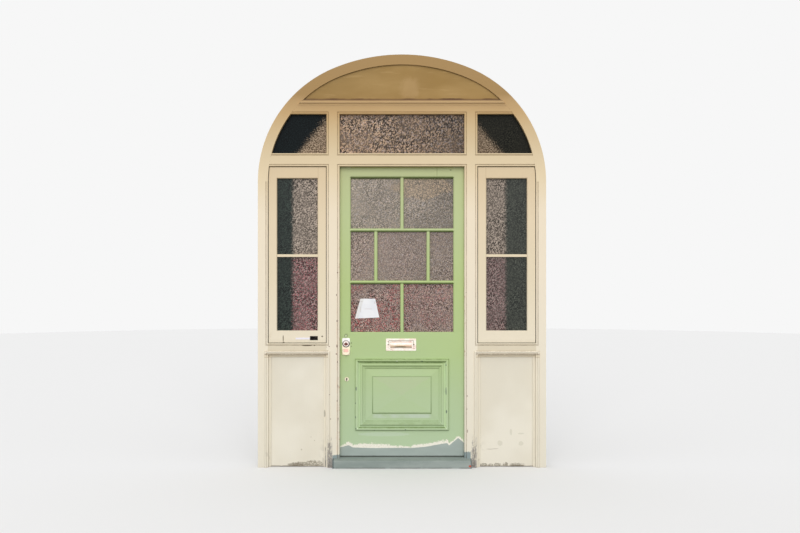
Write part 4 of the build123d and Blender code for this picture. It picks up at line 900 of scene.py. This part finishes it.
def sash_tones(side, strip_column, strip_tones, share, red_reflections):
    """Dark strip towards the jamb, grey-brown above the bar and redder below it with red grains of painted
    reflection.
    """
    def tones(glass):
        edge = abs(photo_place(strip_column, FLOOR_PIXEL, BOARD_DEPTH)[0])
        strip = (glass.x * side - edge + glass.stray(0.07, 60.0, 4.0, 0.75)).past(0.0, 0.016)
        low = glass.z.short(SASH_BAR, 0.03)
        depth = (1.0 + glass.stray(0.5, 5.0)) * share
        # Painted reflection: red grains below the bar
        grains = glass.noise(175.0, 2.0).rise(0.53, 0.59) * low * red_reflections
        high_tones = [glass.scaled(tone, depth) for tone in ((58, 50, 42), (180, 165, 151))]
        low_tones = [glass.scaled(tone, depth) for tone in ((48, 37, 34), (158, 142, 136))]
        dark, light = glass.pair(low, high_tones, low_tones)
        dark = glass.mix(grains * 0.5, dark, (116, 36, 50))
        light = glass.mix(grains * 0.9, light, (196, 66, 88))
        return glass.pair(strip, (dark, light), strip_tones)
    return tones


class DOORSCREEN_OT_glaze(Step, bpy.types.Operator):
    """Give every pane its rolled, obscured figure"""
    bl_idname = "door_screen.glaze"
    bl_label = "Glaze"

    def build(self, settings):
        shaded = {"shadow_of": "top_rail", "patch": WARM_PATCH, "fade": 0.38}
        top = warm_tones((106, 100, 90), (171, 159, 145), 0.25, **shaded)
        middle = warm_tones((90, 79, 71), (180, 165, 152), 0.10, 0.12)
        centre = warm_tones((103, 91, 83), (169, 155, 143), 0.10, 0.12)
        bottom = warm_tones((58, 42, 37), (190, 168, 156), 0.0, 0.85)
        fanlight = warm_tones((38, 27, 18), (170, 145, 119), 0.34)
        clothe(rolled_glass("glass_top", top, 205.0, unrest=0.44), "top_panes")
        clothe(rolled_glass("glass_middle", middle), "middle_left_pane middle_right_pane")
        clothe(rolled_glass("glass_centre", centre), "middle_centre_pane")
        clothe(rolled_glass("glass_bottom", bottom, 250.0, -35.0), "bottom_panes")
        clothe(rolled_glass("glass_fanlight", fanlight, 140.0, 25.0), "centre_fanlight_glass")
        left_strip, right_strip = ((8, 16, 14), (52, 62, 56)), ((30, 33, 29), (76, 79, 71))
        # Near-black painted shade of the arch on the side fanlights
        left_arch_shade, right_arch_shade = ((4, 8, 10), (24, 32, 34)), ((12, 12, 8), (46, 45, 37))
        for name, corner, sash in (
            ("left", side_light_tones(-1, LEFT_CORNER, 0.97, left_arch_shade),
             sash_tones(-1, LEFT_STRIP_COLUMN, left_strip, 1.0, 0.95)),
            ("right", side_light_tones(1, RIGHT_CORNER, 0.76, right_arch_shade),
             sash_tones(1, RIGHT_STRIP_COLUMN, right_strip, 0.88, 0.30)),
        ):
            fan = rolled_glass(f"glass_{name}_fanlight", corner, 150.0, gloss=0.04)
            clothe(fan, f"{name}_fanlight_glass")
            clothe(rolled_glass(f"glass_{name}_sash", sash, 165.0), f"{name}_sash_glass")


# Metal finishes

def worn_metal(name, bright, dull, metallic, roughness, marks=None):
    """Metal with duller, stained patches and fine scratches. The marks function adds to its colour."""
    metal = Finish(name)
    wear = metal.noise(40.0, 5.0, 0.65)
    scratches = metal.noise(1.0, 2.0, place=metal.stretched((90.0, 90.0, 900.0)))
    dirt = metal.hollows(0.006).rise(0.3, 0.8)
    metal.colour = metal.mix(wear.rise(0.42, 0.62), bright, dull)
    if marks:
        marks(metal)
    metal.lay(dirt * 0.8, (58, 44, 32))
    height = scratches * 0.4 + wear * 0.5
    return metal.finish(roughness + wear * 0.22 + dirt * 0.2, height, 0.25, 0.0004, metallic)


PLATE_STAINS = [
    (388.2, 341.7, 0.9, 0.7), (414.2, 348.4, 1.0, 0.7), (414.0, 346.2, 0.6, 0.8), (391.5, 349.6, 1.4, 0.4),
]


def plate_marks(metal):
    """Pink and cream patches, a dark outline round the flap and stains at the ends of the plate."""
    pink = metal.noise(22.0, 3.0, 0.6, place=metal.stretched((1.0, 1.0, 1.6))).rise(0.46, 0.6)
    metal.lay(pink * 0.8, (250, 222, 208))
    beyond_x, beyond_z = metal.beyond(*face_of("letter_flap"))
    outline = beyond_x.most(beyond_z).band(-0.0005, 0.0040, 0.0010)
    height = metal.z - centre_of("letter_flap")[1]
    metal.lay(outline * (0.35 + height.rise(-0.012, 0.0) * 0.65) * 0.7, (96, 88, 60))
    stains = metal.spots(PLATE_STAINS, DOOR_DEPTH, metal.stray(1.2, 120.0, 4.0))
    metal.lay(stains * 0.55, (168, 122, 106))


def flap_marks(metal):
    """Pale polished flap, pink to the right, with a painted shadow in a dark crescent along its foot."""
    middle = centre_of("letter_flap")
    across, height = (metal.x - middle[0]) / 0.07, metal.z - middle[1]
    metal.lay(across.rise(-0.2, 0.9) * 0.7, (252, 206, 194))
    metal.lay(height.fall(-0.012, 0.002) * 0.7, (232, 200, 160))
    # Painted shadow: dark crescent along the foot of the flap
    crescent_shadow = (height + 0.0112 + across * across * 0.006).fall(-0.0015, 0.0015)
    metal.lay(crescent_shadow * (0.3 + abs(across + 0.1).fall(0.35, 0.75) * 0.55), (112, 92, 52))


def pull_marks(metal):
    """White above, cream below, a painted shadow round the cylinder and a painted pink reflection in the
    hollow.
    """
    centre = centre_of("lock_cylinder")
    height = metal.z - centre[1]
    metal.colour = metal.mix(height.rise(-0.020, 0.0), (248, 236, 208), metal.colour)
    # Painted shadow round the cylinder, weaker above
    halo_shadow = metal.radius(centre).band(0.0, 0.0245, 0.0015) * (1.0 - height.rise(0.004, 0.016) * 0.45)
    metal.lay(halo_shadow * 0.95, (50, 39, 20))
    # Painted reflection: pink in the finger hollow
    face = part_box("cylinder_pull")[0][1]
    hollow_reflection = metal.y.rise(face + 0.0015, face + 0.003) * height.fall(-0.034, -0.032)
    metal.lay(hollow_reflection * abs(metal.x - centre[0]).fall(0.0155, 0.0165), (240, 196, 182))


def ring_marks(metal):
    """Bright face between a rim darkened by tarnish and painted shade, less at the top, and a red-brown
    middle.
    """
    centre = centre_of("lock_cylinder")
    high = (metal.z - centre[1]).rise(0.004, 0.014) * 0.55
    # Tarnish and painted shade on the rim, less at the top
    metal.lay(metal.radius(centre).rise(0.0168, 0.0185) * (1.0 - high), (50, 38, 20))
    metal.lay(metal.spot((centre[0], centre[1] - 0.003), (0.0135, 0.0090), 0.0), (108, 52, 40))


def escutcheon_marks(metal):
    """Brown outline round the cream disc, and painted shade in the keyhole."""
    centre = centre_of("keyhole_escutcheons")
    metal.lay(metal.radius(centre).rise(0.0130, 0.0142) * 0.6, (176, 160, 120))
    # Painted shade in the keyhole
    keyhole_shade = abs(metal.x - centre[0]).fall(0.0022, 0.0034) * abs(metal.z - centre[1]).fall(0.0060, 0.0080)
    keyhole_shade = keyhole_shade.most(metal.radius((centre[0], centre[1] + 0.0035)).fall(0.0036, 0.0052))
    metal.lay(keyhole_shade, (44, 34, 26))


def case_marks(metal):
    """Painted shade of the lock behind the keyhole."""
    metal.lay(metal.radius(centre_of("keyhole_escutcheons")).fall(0.010, 0.014), (30, 24, 20))


# Each metal: name, bright and dull colours, metallic, roughness, marks and the nodes that wear it
METALS = [
    ("plate_brass", (255, 250, 238), (252, 232, 214), 0.05, 0.34, plate_marks, "letter_plate"),
    ("flap_brass", (250, 240, 226), (244, 220, 202), 0.25, 0.3, flap_marks, "letter_flap"),
    ("pull_plate", (252, 250, 246), (240, 236, 236), 0.1, 0.3, pull_marks, "cylinder_pull"),
    ("cylinder_ring", (250, 244, 238), (236, 222, 214), 0.15, 0.3, ring_marks, "lock_cylinder"),
    ("escutcheon", (244, 236, 212), (232, 220, 190), 0.0, 0.45, escutcheon_marks, "keyhole_escutcheons"),
    ("plug_brass", (124, 70, 54), (96, 48, 38), 0.5, 0.35, None, "cylinder_plug"),
    ("hinge_steel", (150, 146, 140), (112, 104, 96), 0.85, 0.38, None,
     "hinge_frame_leaves hinge_door_leaves hinge_pins"),
    ("bolt_steel", (176, 172, 166), (138, 132, 124), 0.95, 0.28, None,
     "latch_bolt dead_bolt dead_bolt_striker"),
    ("lock_steel", (150, 146, 140), (118, 112, 104), 0.5, 0.4, case_marks, "dead_lock_case"),
    ("latch_enamel", (92, 78, 62), (70, 60, 50), 0.1, 0.3, None, "night_latch_case latch_staple"),
    ("latch_brass", (206, 174, 112), (166, 132, 80), 0.9, 0.26, None, "latch_knob snib"),
]


class DOORSCREEN_OT_finish_metal(Step, bpy.types.Operator):
    """Finish the locks, hinges and letter plate in worn metal"""
    bl_idname = "door_screen.finish_metal"
    bl_label = "Finish Metal"

    def build(self, settings):
        for *looks, nodes in METALS:
            clothe(worn_metal(*looks), nodes)


# Note on the pane

NOTE_CREASES = [(360.6, 309.4, 0.5, 3.2), (374.8, 302.5, 0.8, 1.4), (361.5, 301.5, 1.2, 0.5)]


class DOORSCREEN_OT_finish_note(Step, bpy.types.Operator):
    """Give the paper note its creases"""
    bl_idname = "door_screen.finish_note"
    bl_label = "Finish Note"

    def build(self, settings):
        paper = Finish("note_paper")
        soft = paper.noise(14.0)
        fold = abs(paper.z - photo_height(NOTE_FOLD_ROW, NOTE_DEPTH) + paper.stray(0.01, 20.0))
        fold = fold.fall(0.0, 0.004) * paper.x.band(*NOTE_FOLD, 0.006)
        marks = paper.spots(NOTE_CREASES, NOTE_DEPTH, paper.stray(1.2, 70.0))
        paper.colour = paper.mix(soft.rise(0.3, 0.8), (240, 240, 242), (228, 229, 234))
        paper.lay(marks * 0.45, (196, 186, 184))
        paper.lay(fold * 0.55, (206, 190, 190))
        left_edge = (paper.x - NOTE_EDGE - (paper.z - NOTE_FOOT) * NOTE_LEAN).fall(0.002, 0.006)
        paper.lay(left_edge * 0.3, (206, 200, 184))
        clothe(paper.finish(0.7, soft * 2.0 - fold - marks, bump=0.5), "paper_note")


# Small fixings modelled here

def deselect():
    """Leave nothing selected."""
    bpy.ops.object.select_all(action="DESELECT")


def settle(piece, name, material, body):
    """Name a finished piece, move its place into its mesh and let it ride on a body."""
    piece.data.transform(piece.matrix_world)
    piece.matrix_world = Matrix.Identity(4)
    piece.name = name
    piece.data.name = name
    piece.data.materials.clear()
    piece.data.materials.append(material)
    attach(piece, body)


def slotted_head(radius, rise, steps):
    """Model one raised screw head with its slot, facing +Z at the origin."""
    deselect()
    bpy.ops.mesh.primitive_uv_sphere_add(segments=steps // 2, ring_count=12, radius=radius)
    head = bpy.context.active_object
    bpy.ops.object.mode_set(mode="EDIT")
    bpy.ops.mesh.select_all(action="SELECT")
    bpy.ops.transform.resize(value=(1.0, 1.0, rise / radius))
    bpy.ops.mesh.bisect(plane_co=(0, 0, 0), plane_no=(0, 0, 1), use_fill=True, clear_inner=True)
    bpy.ops.object.mode_set(mode="OBJECT")
    bpy.ops.mesh.primitive_cube_add(size=1.0, location=(0, 0, rise))
    cutter = bpy.context.active_object
    cutter.scale = (radius * 2.2, radius * 0.26, rise * 1.1)
    bpy.context.view_layer.objects.active = head
    slot = head.modifiers.new("slot", "BOOLEAN")
    slot.object = cutter
    slot.operation = "DIFFERENCE"
    slot.solver = "EXACT"
    bpy.context.view_layer.update()
    bpy.ops.object.modifier_apply(modifier="slot")
    bpy.data.objects.remove(cutter)
    return head


def copies(pattern, places, name, material, body):
    """Copy a modelled pattern to many places, each with its own mesh, and join them."""
    made = []
    for place, facing, turn in places:
        copy = pattern.copy()
        copy.data = pattern.data.copy()
        bpy.context.scene.collection.objects.link(copy)
        aim = Vector(facing).to_track_quat("Z", "Y").to_matrix().to_4x4()
        copy.matrix_world = Matrix.Translation(place) @ aim @ Matrix.Rotation(turn, 4, "Z")
        made.append(copy)
    deselect()
    for copy in made:
        copy.select_set(True)
    bpy.context.view_layer.objects.active = made[0]
    bpy.context.view_layer.update()
    bpy.ops.object.join()
    settle(made[0], name, material, body)


def face_places(node, side, offsets):
    """Places on the outer or inner face of a CAD node, by shares of its width and height."""
    low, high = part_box(node)
    depth = high[1] if side > 0 else low[1]
    places = []
    for number, (across, up) in enumerate(offsets):
        place = (low[0] + (high[0] - low[0]) * across, depth, low[2] + (high[2] - low[2]) * up)
        places.append((place, (0.0, side, 0.0), 0.5 + number * 1.3))
    return places


class DOORSCREEN_OT_add_screws(Step, bpy.types.Operator):
    """Add the slotted screws of the letter plate, latch, staple, hinges and striking plate"""
    bl_idname = "door_screen.add_screws"
    bl_label = "Add Screws"

    def build(self, settings):
        steel = worn_metal("screw_steel", (168, 160, 150), (120, 108, 96), 0.9, 0.35)
        brass = worn_metal("screw_brass", (150, 132, 112), (112, 92, 74), 0.6, 0.4)
        radius, steps = settings.screw_radius, settings.circle_steps
        head = slotted_head(radius, radius * HEAD_RISE_SHARE, steps)
        ends = face_places("letter_plate", -1, [(0.075, 0.5), (0.925, 0.5)])
        copies(head, ends, "letter_plate_screws", brass, "door")
        corners = [(0.12, 0.14), (0.12, 0.86), (0.88, 0.14), (0.88, 0.86)]
        copies(head, face_places("night_latch_case", 1, corners), "latch_screws", steel, "door")
        staple = face_places("latch_staple", 1, [(0.4, 0.1), (0.4, 0.9)])
        copies(head, staple, "staple_screws", steel, "frame")
        bpy.data.objects.remove(head)
        self.edge_screws(slotted_head(radius, FLUSH_RISE, steps), steel)

    def edge_screws(self, flush, steel):
        """Countersunk screws of the hinges and the striking plate, nearly flush."""
        low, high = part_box("hinge_pins")
        axis_x = centre_of("hinge_pins")[0]
        for side, name, body in ((-1, "hinge_door_screws", "door"), (1, "hinge_frame_screws", "frame")):
            places = []
            for height in (low[2] + HINGE_HALF, (low[2] + high[2]) / 2, high[2] - HINGE_HALF):
                for rise in (-1, 0, 1):
                    reach = HINGE_SCREW_NEAR if (rise == 0) == (side < 0) else HINGE_SCREW_FAR
                    level = height + rise * HINGE_SCREW_RISE
                    place = (axis_x + side * HINGE_PARTING / 2, low[1] - reach, level)
                    places.append((place, (-side, 0, 0), 0.4 + rise * 1.1 + height))
            copies(flush, places, name, steel, body)
        low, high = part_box("dead_bolt_striker")
        middle = core_of("dead_bolt_striker")
        ends = ((low[2] + STRIKER_SCREW_INSET, 0.3), (high[2] - STRIKER_SCREW_INSET, 1.7))
        places = [((high[0], middle, height), (1, 0, 0), turn) for height, turn in ends]
        copies(flush, places, "striker_screws", steel, "frame")
        bpy.data.objects.remove(flush)


class DOORSCREEN_OT_add_levers(Step, bpy.types.Operator):
    """Add the deadlock's levers, coloured near black as painted shade inside the keyhole"""
    bl_idname = "door_screen.add_levers"
    bl_label = "Add Lock Levers"

    def build(self, settings):
        centre = centre_of("keyhole_escutcheons")
        deselect()
        bpy.ops.mesh.primitive_cylinder_add(
            vertices=32,
            radius=LEVER_RADIUS,
            depth=LEVER_THICKNESS,
            location=(centre[0], core_of("dead_lock_case"), centre[1] - LEVER_DROP),
            rotation=(math.radians(90), 0, 0),
        )
        # Near black: painted shade inside the keyhole
        dark = worn_metal("lever_dark_shade", (46, 38, 30), (30, 25, 20), 0.0, 0.6)
        settle(bpy.context.active_object, "lock_levers", dark, "door")


class DOORSCREEN_OT_add_labels(Step, bpy.types.Operator):
    """Add the bare strip and blank plate on the left sash's bottom rail"""
    bl_idname = "door_screen.add_labels"
    bl_label = "Add Sash Strip and Plate"

    def build(self, settings):
        white, black = Finish("strip_white"), Finish("plate_black")
        white.colour = (232, 228, 236)
        black.colour = black.mix(black.noise(70.0, 4.0).rise(0.45, 0.7), (8, 7, 6), (60, 53, 46))
        pale = white.finish(0.4, white.noise(60.0), 0.2, 0.0004)
        dark = black.finish(0.7, black.noise(90.0), 0.2, 0.0004, gloss=0.1)
        self.plate("sash_strip", SASH_STRIP, STRIP_THICKNESS, pale)
        self.plate("sash_plate", SASH_PLATE, PLATE_THICKNESS, dark)

    def plate(self, name, corners, thick, material):
        """Model one thin plate with eased edges, standing on the face of the rail."""
        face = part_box("left_sash")[0][1]
        low, high = [photo_place(*corner, face) for corner in corners]
        deselect()
        centre = ((low[0] + high[0]) / 2, face - thick / 2, (low[1] + high[1]) / 2)
        bpy.ops.mesh.primitive_cube_add(size=1.0, location=centre)
        piece = bpy.context.active_object
        piece.scale = (high[0] - low[0], thick, high[1] - low[1])
        bpy.ops.object.transform_apply(location=False, rotation=False, scale=True)
        eased = piece.modifiers.new("eased", "BEVEL")
        eased.width = thick * EASED_SHARE
        eased.segments = 2
        bpy.ops.object.modifier_apply(modifier="eased")
        settle(piece, name, material, "frame")


class DOORSCREEN_OT_set_stage(Step, bpy.types.Operator):
    """Set the pale floor, soft light and camera"""
    bl_idname = "door_screen.set_stage"
    bl_label = "Set Stage"

    def build(self, settings):
        self.floor()
        self.sky(settings)
        self.sun(settings)
        self.camera()
        bpy.context.scene.view_settings.view_transform = "Standard"

    def floor(self):
        """Pale floor that the camera and metal see, and that sends little light upwards."""
        deselect()
        bpy.ops.mesh.primitive_circle_add(
            vertices=64, radius=FLOOR_RADIUS, fill_type="NGON", location=(0, 0, 0)
        )
        floor = bpy.context.active_object
        floor.name = "floor"
        pale = Finish("pale_floor")
        seen = pale.seen_by("Camera", "Glossy", "Transmission")
        pale.colour = pale.mix(seen, [FLOOR_LIT] * 3, [FLOOR_SEEN] * 3)
        floor.data.materials.append(pale.finish(0.9, gloss=0.0))

    def sky(self, settings):
        """Soft light, stronger from above, behind a plain pale background."""
        world = bpy.data.worlds.new("soft_sky")
        bpy.context.scene.world = world
        sky = Graph(world)
        across, _, upward = sky.split(sky.add("ShaderNodeTexCoord", output="Generated"))
        climb = {"Value": upward - across * SKY_LEAN, "From Min": SKY_LOW, "From Max": SKY_HIGH}
        climb.update({"To Min": settings.level_strength, "To Max": settings.sky_strength})
        strength = sky.add("ShaderNodeMapRange", None, climb)
        dim = sky.add("ShaderNodeBackground", None, {"Strength": strength})
        bright = sky.add("ShaderNodeBackground", None, {"Color": [SKY_SEEN] * 3})
        seen = sky.seen_by("Camera", "Transmission")
        both = sky.add("ShaderNodeMixShader", None, {0: seen, 1: dim, 2: bright})
        sky.make("ShaderNodeOutputWorld", None, {"Surface": both})

    def sun(self, settings):
        """Broad, soft key light from in front and a little above."""
        lamp = bpy.data.lights.new("soft_sun", "SUN")
        lamp.energy = settings.sun_strength
        lamp.angle = math.radians(SUN_SPREAD)
        sun = bpy.data.objects.new("soft_sun", lamp)
        bpy.context.scene.collection.objects.link(sun)
        sun.rotation_euler = Vector(SUN_DIRECTION).to_track_quat("-Z", "Y").to_euler()

    def camera(self):
        """Level camera square to the door."""
        lens = bpy.data.cameras.new("camera")
        lens.sensor_width = SENSOR_WIDTH
        lens.lens = SENSOR_WIDTH * CAMERA_DISTANCE / (PHOTO_WIDTH * METRES_PER_PIXEL)
        camera = bpy.data.objects.new("camera", lens)
        bpy.context.scene.collection.objects.link(camera)
        eye_x, eye_z = photo_place(PHOTO_WIDTH / 2, PHOTO_HEIGHT / 2)
        camera.location = (eye_x, -CAMERA_DISTANCE, eye_z)
        camera.rotation_euler = (math.radians(90), 0, 0)
        bpy.context.scene.camera = camera


class DOORSCREEN_PT_panel(bpy.types.Panel):
    """Lists the pieces and finishes in the sidebar"""
    bl_idname = "DOORSCREEN_PT_panel"
    bl_label = "Door Screen"
    bl_space_type = "VIEW_3D"
    bl_region_type = "UI"
    bl_category = "Door Screen"

    def draw(self, context):
        for operator in OPERATORS:
            self.layout.operator(operator.bl_idname)
        for name in ScreenSettings.__annotations__:
            self.layout.prop(context.scene.door_screen, name)


OPERATORS = (
    DOORSCREEN_OT_set_stage,
    DOORSCREEN_OT_paint_frame,
    DOORSCREEN_OT_paint_arch,
    DOORSCREEN_OT_paint_boards,
    DOORSCREEN_OT_paint_door,
    DOORSCREEN_OT_paint_threshold,
    DOORSCREEN_OT_glaze,
    DOORSCREEN_OT_finish_metal,
    DOORSCREEN_OT_finish_note,
    DOORSCREEN_OT_add_screws,
    DOORSCREEN_OT_add_levers,
    DOORSCREEN_OT_add_labels,
)
CLASSES = (ScreenSettings, *OPERATORS, DOORSCREEN_PT_panel)


def register():
    for item in CLASSES:
        bpy.utils.register_class(item)
    bpy.types.Scene.door_screen = PointerProperty(type=ScreenSettings)


def unregister():
    del bpy.types.Scene.door_screen
    for item in reversed(CLASSES):
        bpy.utils.unregister_class(item)


def main():
    register()
    for operator in OPERATORS:
        group, name = operator.bl_idname.split(".")
        getattr(getattr(bpy.ops, group), name)()


if __name__ == "__main__":
    main()
